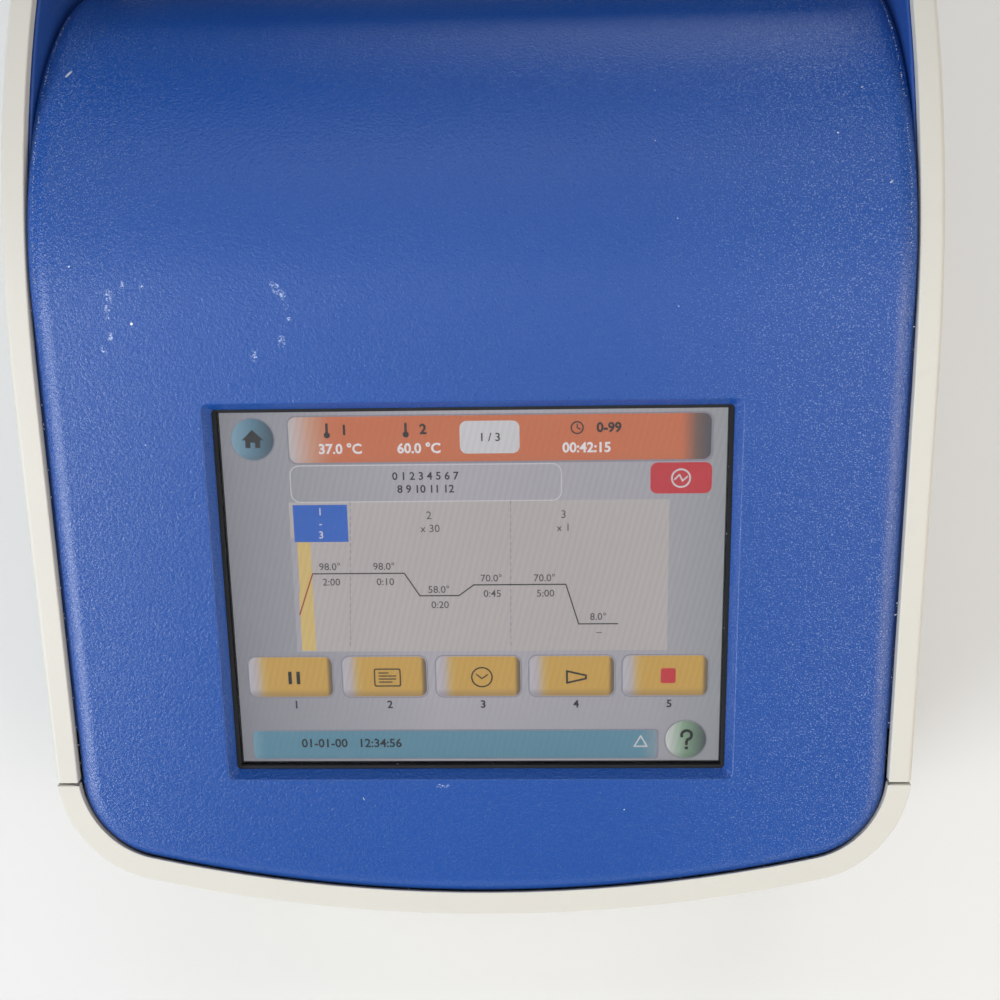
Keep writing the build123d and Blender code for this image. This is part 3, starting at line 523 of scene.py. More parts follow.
@dataclass(frozen=True)
class Glow(Finish):
    """One lit colour of the display, with the display's fine lines."""

    colour: Colour = (0.5, 0.5, 0.5)
    strength: float = 0.8

    def build(self) -> bpy.types.Material:
        """Build the lit colour.

        Returns:
            The colour with the display's fine bands.
        """
        graph = Graph.material(self.name)
        cloud = graph.noise(graph.place(), 24.0, 2.0)
        tone = graph.mix(cloud, shade(self.colour, 0.93), shade(self.colour, 1.05))
        return graph.finish(
            Base_Color=shade(self.colour, 0.10),
            Emission_Color=graph.mix(graph.ripple() * 0.26, tone, shade(self.colour, 0.70)),
            Emission_Strength=self.strength,
            Roughness=0.6 + (cloud - 0.5) * 0.1,
        )


@dataclass(frozen=True)
class GlowBand(Finish):
    """Lit colours that change across a shape from its left side to its right, and down it."""

    stops: tuple[tuple[float, Colour], ...] = ()
    foot: float = 0.8
    strength: float = 0.8

    def build(self) -> bpy.types.Material:
        """Build the graded colour.

        Returns:
            The colours, darker towards the foot of the shape.
        """
        graph = Graph.material(self.name)
        spot = graph.node("ShaderNodeTexCoord", {}, {}, "Generated")
        across = graph.node("ShaderNodeSeparateXYZ", {}, {0: spot}, "X")
        height = graph.node("ShaderNodeSeparateXYZ", {}, {0: spot}, "Z")
        tone = graph.node("ShaderNodeValToRGB", {"stops": self.stops}, {0: across})
        low = (1 - height.ramp(0.02, 0.24)) * (1 - self.foot)
        shaded = graph.mix(low.most(graph.ripple() * 0.09), tone, (0.05, 0.05, 0.06))
        return graph.finish(
            Base_Color=(0.03, 0.03, 0.03),
            Emission_Color=shaded,
            Emission_Strength=self.strength,
            Roughness=0.6,
        )


@dataclass(frozen=True)
class FloorPaint(Finish):
    """Plain pale bench."""

    colour: Colour = (0.78, 0.78, 0.775)

    def build(self) -> bpy.types.Material:
        """Build the bench's finish.

        Returns:
            The paint with its faint clouds.
        """
        graph = Graph.material(self.name)
        cloud = graph.noise(graph.place(), 3.0, 2.0)
        tone = graph.mix(cloud, shade(self.colour, 0.985), shade(self.colour, 1.01))
        return graph.finish(Base_Color=tone, Roughness=0.65)


class Palette:
    """The instrument's finishes."""

    RIM = Moulding("rim_cream", srgb(202, 199, 191), 0.50, 1900.0, 0.04, 0.20)
    SHELL = Moulding("shell_cream", srgb(208, 204, 196), 0.50, 1700.0, 0.05, 0.22)
    LEVER = Moulding("lever_blue", srgb(24, 50, 104), 0.45, 1700.0, 0.05, 0.15)
    BLACK = Moulding("black_moulding", srgb(30, 30, 33), 0.45, 1500.0, 0.04, 0.3)
    GREY = Moulding("grey_moulding", srgb(96, 97, 99), 0.5, 1500.0, 0.05, 0.3)
    # The well's lacquer carries faint painted glints, of strength 0.05.
    WELL_BLUE = BlueLacquer("well_blue", srgb(32, 74, 150), 0.46, 0.03, 0.05)
    STEEL = Metal("zinc_sheet", (0.56, 0.57, 0.58), 0.36, Axis3.Y, 0.16, 0.35)
    TURNED = Metal("turned_steel", (0.63, 0.63, 0.63), 0.26, Axis3.X, 0.14, 0.2)
    REAR = Moulding("powder_coat", srgb(196, 194, 188), 0.55, 1200.0, 0.07, 0.25)
    ALUMINIUM = Metal("milled_aluminium", (0.74, 0.75, 0.76), 0.33, Axis3.Y, 0.18, 0.2)
    SILVER = Metal("silver_plate", (0.84, 0.84, 0.83), 0.22, Axis3.Y, 0.10, 0.25)
    SILICONE = SoftRubber("silicone", srgb(118, 120, 124), 0.6, 0.3)
    FOAM = SoftRubber("black_foam", srgb(16, 17, 22), 0.85, 0.35)
    RUBBER = SoftRubber("foot_rubber", srgb(27, 27, 28), 0.7, 0.5)
    BOARD = SolderMask("solder_mask")
    CERAMIC = Moulding("ceramic", srgb(226, 223, 214), 0.4, 900.0, 0.02, 0.2)
    LINT = SoftRubber("lint", srgb(168, 176, 192), 0.8, 0.2)
    GOLD = Metal("contact_gold", (0.80, 0.58, 0.24), 0.28, Axis3.Y, 0.08, 0.1)
    GLASS = TouchGlass("touch_glass")
    FLOOR = FloorPaint("bench")


class Forge:
    """Turns points and faces into finished objects."""

    @staticmethod
    def piece(name: str, bm: bmesh.types.BMesh, finish: Finish, body: Body) -> bpy.types.Object:
        """Make an object from a bmesh, dress it and let it ride.

        Args:
            name: the piece's name.
            bm: its geometry, freed afterwards.
            finish: its finish.
            body: the body that it rides on.

        Returns:
            The new object.
        """
        mesh = bpy.data.meshes.new(name)
        bm.normal_update()
        bm.to_mesh(mesh)
        bm.free()
        return Forge.wrap(name, mesh, finish, body)

    @staticmethod
    def wrap(name: str, mesh: bpy.types.Mesh, finish: Finish, body: Body) -> bpy.types.Object:
        """Put a mesh in the scene as a smooth-shaded piece on its body.

        Args:
            name: the piece's name.
            mesh: its mesh.
            finish: its finish.
            body: the body that it rides on.

        Returns:
            The new object.
        """
        made = bpy.data.objects.new(name, mesh)
        bpy.context.scene.collection.objects.link(made)
        mesh.materials.clear()
        mesh.materials.append(finish.material())
        mesh.polygons.foreach_set("use_smooth", [True] * len(mesh.polygons))
        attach(made, body.value)
        log.info("%s: %d faces on %s", name, len(mesh.polygons), body.value)
        return made

    @staticmethod
    def crisp(made: bpy.types.Object, angle: float = 35.0) -> bpy.types.Object:
        """Keep creases sharp and let flat faces lead the shading.

        Args:
            made: the piece.
            angle: least angle of a crease, in degrees.

        Returns:
            The same piece.
        """
        made.data.set_sharp_from_angle(angle=math.radians(angle))
        Forge.even_shading(made)
        return made

    @staticmethod
    def even_shading(made: bpy.types.Object) -> None:
        """Let a piece's large flat faces lead the shading of its rounded edges."""
        weighted = made.modifiers.new("even_shading", "WEIGHTED_NORMAL")
        weighted.keep_sharp = True

    @staticmethod
    def round_marked(made: bpy.types.Object, width_mm: float, segments: int = 4) -> None:
        """Round the edges that carry a bevel weight.

        Args:
            made: the piece.
            width_mm: width of the rounding.
            segments: steps across it.
        """
        bevel = made.modifiers.new("rim_round", "BEVEL")
        bevel.width = width_mm * MM
        bevel.segments = segments
        bevel.limit_method = "WEIGHT"

    @staticmethod
    def soften(made: bpy.types.Object, width_mm: float, segments: int = 3, angle: float = 40.0) -> None:
        """Round the creases above an angle, then even out the shading.

        Args:
            made: the piece.
            width_mm: width of the rounding.
            segments: steps across it.
            angle: least angle, in degrees, that counts as a crease.
        """
        bevel = made.modifiers.new("rounded", "BEVEL")
        bevel.width = width_mm * MM
        bevel.segments = segments
        bevel.limit_method = "ANGLE"
        bevel.angle_limit = math.radians(angle)
        bevel.use_clamp_overlap = False
        bevel.miter_outer = "MITER_ARC"
        Forge.even_shading(made)

    @staticmethod
    def rings(bm: bmesh.types.BMesh, loops: Sequence[Sequence[Vector]], closed: bool) -> list[list[Any]]:
        """Join rows of points by quads.

        Args:
            bm: mesh that takes them.
            loops: rows with the same number of points each.
            closed: whether each row joins its own ends.

        Returns:
            The rows' vertices.
        """
        rows = [[bm.verts.new(point) for point in loop] for loop in loops]
        for low, high in zip(rows, rows[1:]):
            count = len(low) if closed else len(low) - 1
            for index in range(count):
                after = (index + 1) % len(low)
                bm.faces.new((low[index], low[after], high[after], high[index]))
        return rows

    @staticmethod
    def plate(bm: bmesh.types.BMesh, outline: Sequence[Vector], lift: Vector) -> None:
        """Closed prism from a flat outline.

        Args:
            bm: mesh that takes it.
            outline: corners in order.
            lift: from the lower face to the upper one.
        """
        rows = Forge.rings(bm, [outline, [point + lift for point in outline]], True)
        bm.faces.new(list(reversed(rows[0])))
        bm.faces.new(rows[1])

    @staticmethod
    def lathe(bm: bmesh.types.BMesh, profile: Sequence[Point2], place: Matrix, steps: int = 40) -> None:
        """Solid of revolution about the place's Z axis.

        Args:
            bm: mesh that takes it.
            profile: (radius, height) pairs, with positive radii, from bottom to top.
            place: where it goes; heights and radii are in metres.
            steps: sides round the axis.
        """
        rows = Forge.rings(bm, [circle_at(place, radius, height, steps) for radius, height in profile], True)
        bm.faces.new(list(reversed(rows[0])))
        bm.faces.new(rows[-1])


@dataclass(frozen=True)
class TiltedFrame:
    """The control panel's own frame, with its origin at the middle of the glass's face."""

    origin: Vector
    tilt: float = 38.0

    @classmethod
    def from_glass(cls, thickness_mm: float = 1.1) -> "TiltedFrame":
        """Find the frame from the touch glass's place.

        Args:
            thickness_mm: thickness of the glass.

        Returns:
            The panel's frame.
        """
        low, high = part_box("touch_glass")
        made = cls((low + high) / 2)
        return cls(made.origin + made.normal() * (thickness_mm / 2 * MM))

    def normal(self) -> Vector:
        """Unit vector out of the panel."""
        angle = math.radians(self.tilt)
        return Vector((0.0, -math.sin(angle), math.cos(angle)))

    def uphill(self) -> Vector:
        """Unit vector up along the panel."""
        angle = math.radians(self.tilt)
        return Vector((0.0, math.cos(angle), math.sin(angle)))

    def at(self, x: float, up: float, out: float) -> Vector:
        """World point, in metres, of a point given in the panel's millimetres."""
        return self.origin + (Vector((x, 0.0, 0.0)) + self.uphill() * up + self.normal() * out) * MM


@dataclass
class BluePanel:
    """The blue moulding: bowed nose, flat face with the screen window, and the roll behind.

    All sizes are in millimetres. The nose_fit closes the gap at the nose, where the rim's wall leans away.
    """

    frame: TiltedFrame
    half: float = 118.5
    bow: float = 410.0
    corner: float = 30.0
    reach: float = 95.0
    face_out: float = 4.0
    inset: float = 6.95
    nose_fit: float = 0.7
    trim: float = 1.9
    rounding: float = 8.0
    skirt: float = 10.0
    wall: float = 2.4
    roll_start: float = 77.0
    roll_radius: float = 87.0
    window: Point2 = (135.2, 101.8)
    window_depth: float = 2.8
    chamfer_wide: float = 2.0
    straight_stops: tuple[float, ...] = (30.0, -20.0)
    roll_steps: int = 44
    corner_steps: int = 12
    bow_steps: int = 16
    edge_steps: int = 8

    def point(self, x: float, run: float, lift: float) -> Vector:
        """A point of the moulding from its place on the unrolled sheet.

        Args:
            x: across, in millimetres.
            run: distance along the sheet from the screen's middle.
            lift: height above the sheet's face.

        Returns:
            The world point.
        """
        if run <= self.roll_start:
            return self.frame.at(x, run, self.face_out + lift)
        angle = (run - self.roll_start) / self.roll_radius
        radius = self.roll_radius + lift
        up = self.roll_start + radius * math.sin(angle)
        return self.frame.at(x, up, self.face_out - self.roll_radius + radius * math.cos(angle))

    def edge_row(self, inset: float) -> list[Point2]:
        """Outline of the sheet at a distance inside the instrument's width.

        Args:
            inset: that distance.

        Returns:
            (x, run) pairs from the roll's end on the right, round the nose, to its end on the left.
        """
        end = self.roll_radius * math.pi / 2
        x = self.half - inset
        rows = [(x, self.roll_start + end * step / self.roll_steps) for step in range(self.roll_steps, -1, -1)]
        rows += [(x, self.roll_start - 1.0)] + [(x, run) for run in self.straight_stops]
        middle_up = self.bow - self.reach
        centre_x = self.half - self.corner
        span = self.bow - self.corner
        centre_up = middle_up - math.sqrt(span**2 - centre_x**2)
        turn = math.atan2(centre_up - middle_up, centre_x)
        for step in range(self.corner_steps + 1):
            angle = turn * step / self.corner_steps
            radius = self.corner - inset + self.nose_fit * math.sin(angle) ** 2
            rows.append((centre_x + radius * math.cos(angle), centre_up + radius * math.sin(angle)))
        for step in range(1, self.bow_steps + 1):
            angle = turn + (-math.pi / 2 - turn) * step / self.bow_steps
            radius = self.bow - inset + self.nose_fit * math.sin(angle) ** 2
            rows.append((radius * math.cos(angle), middle_up + radius * math.sin(angle)))
        return rows + [(-x_right, run) for x_right, run in reversed(rows[:-1])]

    def window_row(self, grow: float, radius: float, steps: int = 4) -> list[Point2]:
        """Rounded rectangle round the screen window.

        Args:
            grow: how much larger than the window it is, on each side.
            radius: radius of its corners.
            steps: steps round each corner.

        Returns:
            (x, run) pairs on the sheet.
        """
        wide, high = self.window[0] / 2 + grow, self.window[1] / 2 + grow
        row = []
        for quarter, (side_x, side_y) in enumerate(((1, 1), (-1, 1), (-1, -1), (1, -1))):
            for step in range(steps + 1):
                angle = math.pi / 2 * (quarter + step / steps)
                x = side_x * (wide - radius) + radius * math.cos(angle)
                row.append((x, side_y * (high - radius) + radius * math.sin(angle)))
        return row

    def window_profile(self) -> list[Colour]:
        """Section of the screen window, from its foot up the chamfer to the face.

        Returns:
            (growth, corner radius, lift) rows.
        """
        wide = self.chamfer_wide
        return [
            (0.0, 1.0, -self.window_depth - 0.2),
            (0.0, 1.0, -self.window_depth),
            (wide - 0.2, 1.6, -0.28),
            (wide - 0.02, 1.75, -0.09),
            (wide + 0.22, 1.95, 0.0),
        ]

    def build(self) -> bpy.types.Object:
        """Build the moulding and let it stand for the panel's node.

        Returns:
            The moulding.
        """
        bm = bmesh.new()
        flat_inset = self.inset - self.trim + self.rounding
        start = math.acos((self.rounding - self.trim) / self.rounding)
        profile = [(self.inset, -self.skirt), (self.inset, -self.skirt / 2)]
        for step in range(self.edge_steps + 1):
            angle = start + (math.pi / 2 - start) * step / self.edge_steps
            inset = flat_inset - self.rounding * math.cos(angle)
            profile.append((inset, self.rounding * (math.sin(angle) - 1)))
        loops = [[self.point(x, run, lift) for x, run in self.edge_row(inset)] for inset, lift in profile]
        crest = Forge.rings(bm, loops, False)[-1]
        for index in range(self.roll_steps):
            bm.faces.new((crest[index], crest[index + 1], crest[-2 - index], crest[-1 - index]))
        frames = [
            [self.point(x, run, lift) for x, run in self.window_row(grow, radius)]
            for grow, radius, lift in self.window_profile()
        ]
        inner = Forge.rings(bm, frames, True)[-1]
        border = crest[self.roll_steps : len(crest) - self.roll_steps]
        edges = [bm.edges.get((a, b)) for a, b in zip(inner, inner[1:] + inner[:1])]
        edges += [bm.edges.get((a, b)) or bm.edges.new((a, b)) for a, b in zip(border, border[1:] + border[:1])]
        bmesh.ops.triangle_fill(bm, use_beauty=True, use_dissolve=False, edges=edges)
        bmesh.ops.recalc_face_normals(bm, faces=bm.faces)
        made = Forge.piece("panel_moulding", bm, self.finish(), Body.BASE)
        shell = made.modifiers.new("wall", "SOLIDIFY")
        shell.thickness = self.wall * MM
        shell.offset = -1.0
        Forge.crisp(made, 50.0)
        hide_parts("front_panel")
        return made

    def finish(self) -> BlueLacquer:
        """The lacquer, with its scuffs and chips where hands and tools have touched it.

        Returns:
            The finish, with each mark given as (x, run, radius) in millimetres on the sheet.
        """
        scuffs = [(-90.7, 80.9, 1.5), (-91.2, 77.6, 1.1), (-91.2, 75.6, 0.7), (-87.2, 83.4, 0.9), (-82.1, 83.2, 0.9),
                  (-91.2, 70.6, 1.0), (-93.0, 67.2, 1.1), (-49.2, 83.2, 0.8), (-48.1, 82.0, 1.3), (-46.7, 80.4, 1.2),
                  (-45.9, 77.8, 0.9), (-45.4, 74.6, 0.7), (-47.5, 68.8, 1.4), (-54.7, 65.1, 1.3)]
        chips = [(-85.4, 73.7, 0.45), (-100.2, 88.2, 0.25), (40.0, -62.0, 0.2), (92.0, 119.0, 0.25)]

        def spots(rows: Sequence[tuple[float, float, float]], low: float = 1.0) -> tuple[tuple[Colour, Colour], ...]:
            """Places on the sheet as points in metres, with the reach of their marks."""
            return tuple((tuple(self.point(x, run, 0.0)), (r * MM, r * low * MM, r * low * MM)) for x, run, r in rows)

        worn = spots(scuffs, 1.4) + spots([(-10.1, -54.7, 2.4)], 0.35)
        # The panel's lacquer carries painted glints of strength 0.30 on its grain.
        return BlueLacquer("panel_lacquer", srgb(7, 68, 147), 0.34, 0.20, 0.30, worn, spots(chips))


class Ink(Enum):
    """Lit colours of the display's page."""

    PAPER = srgb(168, 163, 173)
    GRAPH = srgb(184, 176, 174)
    PALE = srgb(206, 203, 206)
    LINE = srgb(138, 134, 146)
    BLACK = srgb(24, 22, 26)
    GREY = srgb(64, 60, 66)
    WHITE = srgb(228, 226, 230)
    BLUE = srgb(22, 92, 190)
    YELLOW = srgb(212, 182, 112)
    RED = srgb(196, 40, 52)
    DARK_RED = srgb(150, 40, 40)


@dataclass
class ScreenPage:
    """The lit page of the display: header, profile graph, keys and status bar, in its own grid.

    Places are grid steps from the page's top left corner, and lit, depth and layer are in millimetres.
    """

    frame: TiltedFrame
    grid: Point2 = (640.0, 480.0)
    lit: Point2 = (132.5, 99.4)
    depth: float = -1.66
    layer: float = 0.04
    meshes: dict[Ink, bmesh.types.BMesh] = field(default_factory=dict)

    def spot(self, u: float, v: float, level: int) -> Vector:
        """World point of a place on the page.

        Args:
            u: steps across the grid.
            v: steps down the grid.
            level: layer above the display.

        Returns:
            The point, in metres.
        """
        x = (u / self.grid[0] - 0.5) * self.lit[0]
        up = (0.5 - v / self.grid[1]) * self.lit[1]
        return self.frame.at(x, up, self.depth + self.layer * level)

    def mesh(self, ink: Ink) -> bmesh.types.BMesh:
        """The mesh that collects all shapes of one ink.

        Args:
            ink: the ink.

        Returns:
            Its mesh, new on first use.
        """
        if ink not in self.meshes:
            self.meshes[ink] = bmesh.new()
        return self.meshes[ink]

    def shape(self, bm: bmesh.types.BMesh, corners: Sequence[Point2], level: int) -> None:
        """Thin plate from corners on the grid, listed anticlockwise as seen on the screen."""
        lift = self.frame.normal() * (self.layer * 0.6 * MM)
        Forge.plate(bm, [self.spot(u, v, level) for u, v in corners], lift)

    @staticmethod
    def rounded(box: Box2, radius: float) -> list[Point2]:
        """Outline of a rounded rectangle.

        Args:
            box: its left, top, right and bottom on the grid.
            radius: radius of its corners.

        Returns:
            Points on the grid, anticlockwise.
        """
        left, top, right, bottom = box
        corners = []
        centres = ((right, top, -1, 1), (left, top, 1, 1), (left, bottom, 1, -1), (right, bottom, -1, -1))
        for quarter, (x, y, in_x, in_y) in enumerate(centres):
            for step in range(7):
                angle = math.pi / 2 * (quarter + step / 6)
                u = x + in_x * radius + radius * math.cos(angle)
                corners.append((u, y + in_y * radius - radius * math.sin(angle)))
        return corners

    @staticmethod
    def circle(u: float, v: float, radius: float, steps: int = 40) -> list[Point2]:
        """Corners of a circle on the grid."""
        return [(u + radius * math.cos(a), v - radius * math.sin(a)) for a in turns(steps)]

    def panel(self, ink: Ink, box: Box2, radius: float, level: int) -> None:
        """Filled rectangle in one ink.

        Args:
            ink: its ink.
            box: its left, top, right and bottom.
            radius: radius of its corners, or 0 for sharp ones.
            level: layer above the display.
        """
        left, top, right, bottom = box
        sharp = [(right, top), (left, top), (left, bottom), (right, bottom)]
        self.shape(self.mesh(ink), self.rounded(box, radius) if radius else sharp, level)

    def outline(self, ink: Ink, corners: Sequence[Point2], width: float, level: int, closed: bool = True) -> None:
        """Line of even width through points on the grid.

        Args:
            ink: its ink.
            corners: the points.
            width: its width in grid steps.
            level: layer above the display.
            closed: whether it runs back to its start.
        """
        pairs = list(zip(corners, list(corners[1:]) + [corners[0]]))
        for (u0, v0), (u1, v1) in pairs if closed else pairs[:-1]:
            length = math.hypot(u1 - u0, v1 - v0)
            if length < 1e-6:
                continue
            du, dv = (u1 - u0) / length * width / 2, (v1 - v0) / length * width / 2
            a, b = (u0 - du * 0.8, v0 - dv * 0.8), (u1 + du * 0.8, v1 + dv * 0.8)
            quad = [(a[0] + dv, a[1] - du), (a[0] - dv, a[1] + du), (b[0] - dv, b[1] + du), (b[0] + dv, b[1] - du)]
            self.shape(self.mesh(ink), quad, level)

    def text(self, ink: Ink, words: str, u: float, v: float, size: float, level: int = 5, bold: float = 0.0) -> None:
        """Write digits or signs centred on a place of the grid.

        Args:
            ink: colour of the signs.
            words: what is written.
            u: centre, across.
            v: centre, down.
            size: height of the digits in grid steps.
            level: layer above the display.
            bold: extra stroke width.
        """
        curve = bpy.data.curves.new("signs", "FONT")
        curve.body = words
        curve.align_x = "CENTER"
        curve.align_y = "CENTER"
        curve.offset = bold
        curve.resolution_u = 3
        holder = bpy.data.objects.new("signs", curve)
        bpy.context.scene.collection.objects.link(holder)
        bpy.context.view_layer.update()
        flat = bpy.data.meshes.new_from_object(holder)
        step = self.lit[1] / self.grid[1] * MM
        scale = size * step / 0.70
        up, right = self.frame.uphill(), Vector((1.0, 0.0, 0.0))
        turn = Matrix((right, up, self.frame.normal())).transposed().to_4x4()
        flat.transform(Matrix.Translation(self.spot(u, v, level)) @ turn @ Matrix.Scale(scale, 4))
        self.mesh(ink).from_mesh(flat)
        bpy.data.objects.remove(holder)
        bpy.data.curves.remove(curve)
        bpy.data.meshes.remove(flat)

    def graded(self, name: str, corners: Sequence[Point2], level: int, finish: GlowBand) -> None:
        """A shape of its own, whose colour changes across it.

        Args:
            name: the piece's name.
            corners: its outline on the grid.
            level: layer above the display.
            finish: its colours.
        """
        bm = bmesh.new()
        self.shape(bm, corners, level)
        Forge.crisp(Forge.piece(name, bm, finish, Body.BASE), 30.0)

    def header(self) -> None:
        """Orange bar with temperatures, the step box and the time left."""
        box = (87.0, 7.0, 620.0, 66.0)
        self.panel(Ink.LINE, (85.0, 5.0, 623.0, 68.5), 11.0, 1)
        orange = srgb(206, 104, 52)
        stops = ((0.0, srgb(196, 188, 190)), (0.05, srgb(206, 150, 122)), (0.10, orange),
                 (0.93, orange), (0.965, srgb(112, 78, 66)), (1.0, srgb(52, 58, 72)))
        self.graded("page_header", self.rounded(box, 10.0), 2, GlowBand("lit_orange", stops, 0.92))
        for number, u in (("1", 136.0), ("2", 236.0)):
            self.thermometer(u, 24.0)
            self.text(Ink.BLACK, number, u + 22.0, 24.5, 12.5, bold=0.035)
        self.outline(Ink.BLACK, self.circle(452.0, 24.0, 7.5, 20), 1.8, 5)
        self.outline(Ink.BLACK, [(452.0, 19.5), (452.0, 24.0), (456.0, 26.0)], 1.6, 5, False)
        self.text(Ink.BLACK, "0-99", 492.0, 24.5, 12.0, bold=0.035)
        for value, u, v in (("37.0 °C", 152.0, 49.0), ("60.0 °C", 252.0, 49.0), ("00:42:15", 464.0, 50.0)):
            self.text(Ink.WHITE, value, u, v, 12.5, bold=0.028)
        self.panel(Ink.PALE, (304.0, 14.0, 379.5, 56.0), 9.0, 4)
        self.text(Ink.BLACK, "1 / 3", 342.0, 35.5, 10.5, bold=0.012)

    def thermometer(self, u: float, v: float) -> None:
        """Small thermometer sign."""
        self.panel(Ink.BLACK, (u - 1.6, v - 9.0, u + 1.6, v + 6.0), 1.5, 5)
        self.shape(self.mesh(Ink.BLACK), self.circle(u, v + 6.5, 4.0, 16), 5)

    def notes(self) -> None:
        """Faint box with two rows of digits, and the red badge."""
        self.outline(Ink.PALE, self.rounded((86.0, 70.0, 432.0, 118.0), 12.0), 1.2, 2)
        for row, v in (("0 1 2 3 4 5 6 7", 85.0), ("8 9 10 11 12", 102.0)):
            self.text(Ink.BLACK, row, 259.0, v, 10.0, bold=0.018)
        self.panel(Ink.RED, (544.5, 70.0, 622.0, 110.5), 9.0, 2)
        self.outline(Ink.PALE, self.circle(583.0, 90.5, 11.5, 28), 2.2, 4)
        self.outline(Ink.PALE, [(575.0, 92.0), (581.0, 86.0), (585.0, 94.0), (591.0, 88.5)], 2.0, 4, False)

    def graph(self) -> None:
        """Temperature profile over a warmer field, with its step heads and plain values."""
        self.panel(Ink.GRAPH, (82.0, 118.0, 569.0, 322.0), 0.0, 1)
        self.panel(Ink.PAPER, (82.0, 166.0, 90.0, 322.0), 0.0, 2)
        self.panel(Ink.YELLOW, (88.5, 170.0, 107.0, 320.5), 0.0, 2)
        self.panel(Ink.BLUE, (87.0, 121.5, 157.0, 171.0), 0.0, 3)
        for row, sign in enumerate(("1", "-", "3")):
            self.text(Ink.PALE, sign, 122.0, 131.0 + 15.5 * row, 9.5, bold=0.012)
        for step, repeats, u, repeats_u in (("2", "x 30", 262.0, 263.0), ("3", "x 1", 434.5, 434.5)):
            self.text(Ink.GREY, step, u, 137.0, 10.5)
            self.text(Ink.GREY, repeats, repeats_u, 154.5, 10.0)
        dashes = 22
        for top_u, foot_u in ((161.5, 152.5), (367.0, 364.5)):
            for index in range(dashes):
                low, high = index / dashes, (index + 0.55) / dashes
                ends = [(top_u + (foot_u - top_u) * part, 118.5 + 200 * part) for part in (low, high)]
                self.outline(Ink.LINE, ends, 1.0, 3, False)
        line = [(108.0, 214.0), (227.5, 214.0), (247.0, 245.0), (298.0, 245.0), (317.5, 230.5),
                (437.0, 230.5), (453.5, 285.0), (504.5, 285.0)]
        self.outline(Ink.DARK_RED, [(88.0, 270.0), (108.0, 214.0)], 1.7, 5, False)
        self.outline(Ink.BLACK, line, 1.6, 5, False)
        values = (("98.0°", "2:00", 131.0, 205.0), ("98.0°", "0:10", 201.5, 205.0),
                  ("58.0°", "0:20", 272.0, 237.0), ("70.0°", "0:45", 340.5, 222.0),
                  ("70.0°", "5:00", 409.5, 222.0), ("8.0°", "–", 479.0, 275.5))
        for high, low, u, v in values:
            self.text(Ink.GREY, high, u, v, 9.5, bold=0.006)
            self.text(Ink.GREY, low, u + 1.0, v + 21.0, 9.5, bold=0.006)

    def keys(self) -> None:
        """Five amber keys with their signs, and a number under each."""
        amber = srgb(206, 160, 62)
        stops = ((0.0, srgb(190, 186, 196)), (0.09, srgb(188, 176, 176)), (0.17, srgb(204, 168, 96)),
                 (0.24, amber), (0.93, amber), (0.965, srgb(128, 98, 46)), (1.0, srgb(84, 74, 66)))
        band = GlowBand("lit_amber", stops, 0.62)
        for index, left in enumerate((15.5, 141.0, 265.5, 389.0, 512.0)):
            box = (left, 330.0, left + 111.0, 386.0)
            self.outline(Ink.LINE, self.rounded((left - 1.5, 328.5, left + 112.5, 387.5), 11.0), 1.4, 1)
            self.graded(f"page_key_{index + 1}", self.rounded(box, 10.0), 2, band)
            self.text(Ink.BLACK, str(index + 1), left + 61.0, 398.0, 10.5, bold=0.025)
        for offset in (-5.5, 5.5):
            self.panel(Ink.BLACK, (75.5 + offset - 2.4, 350.0, 75.5 + offset + 2.4, 368.0), 1.0, 5)
        self.outline(Ink.BLACK, self.rounded((183.0, 347.0, 217.0, 371.0), 2.5), 1.8, 5)
        for row, (left, right) in enumerate(((189, 201), (189, 211), (189, 211), (189, 206))):
            self.outline(Ink.BLACK, [(left, 352.5 + 4.3 * row), (right, 352.5 + 4.3 * row)], 1.7, 5, False)
        self.outline(Ink.BLACK, self.circle(325.5, 359.0, 13.5, 32), 1.9, 5)
        self.outline(Ink.BLACK, [(318.5, 355.0), (325.5, 361.0), (333.0, 355.5)], 1.7, 5, False)
        self.outline(Ink.BLACK, [(438.0, 351.0), (438.0, 367.5), (463.0, 361.5), (463.0, 357.0)], 2.6, 5)
        self.panel(Ink.RED, (561.5, 347.5, 581.0, 368.5), 2.5, 5)

    def footer(self) -> None:
        """Status bar, and the home and help buttons."""
        teal = srgb(84, 138, 160)
        bar = ((0.0, srgb(112, 156, 174)), (0.03, teal), (0.96, teal), (1.0, srgb(128, 150, 162)))
        self.panel(Ink.LINE, (13.0, 434.0, 560.0, 477.5), 5.0, 1)
        self.graded("page_status", self.rounded((15.0, 436.0, 557.5, 476.0), 4.0), 2, GlowBand("lit_teal", bar, 0.86))
        self.text(Ink.BLACK, "01-01-00   12:34:56", 148.0, 454.0, 12.0, bold=0.02)
        self.outline(Ink.PALE, [(536.0, 444.0), (527.5, 459.0), (544.5, 459.0)], 2.0, 5)
        home = ((0.0, srgb(122, 162, 182)), (0.5, srgb(72, 118, 142)), (1.0, srgb(38, 62, 78)))
        self.panel_circle("page_home", 41.0, 35.0, 27.0, home)
        self.shape(self.mesh(Ink.BLACK), [(41.0, 22.5), (27.0, 36.0), (55.0, 36.0)], 5)
        for wall in ((31.5, 35.0, 38.0, 46.0), (44.0, 35.0, 50.5, 46.0), (38.0, 34.0, 44.0, 39.0)):
            self.panel(Ink.BLACK, wall, 0.0, 5)
        help_stops = ((0.0, srgb(212, 214, 212)), (0.45, srgb(128, 160, 130)), (1.0, srgb(44, 56, 62)))
        self.panel_circle("page_help", 596.0, 449.5, 27.0, help_stops)
        bend = [math.radians(195 - 25 * step) for step in range(12)]
        hook = [(597.0 + 6.6 * math.cos(a), 443.0 - 6.6 * math.sin(a)) for a in bend]
        self.outline(Ink.BLACK, hook + [(597.0, 453.0), (597.0, 456.0)], 3.8, 5, False)
        self.shape(self.mesh(Ink.BLACK), self.circle(597.0, 461.5, 2.5, 16), 5)

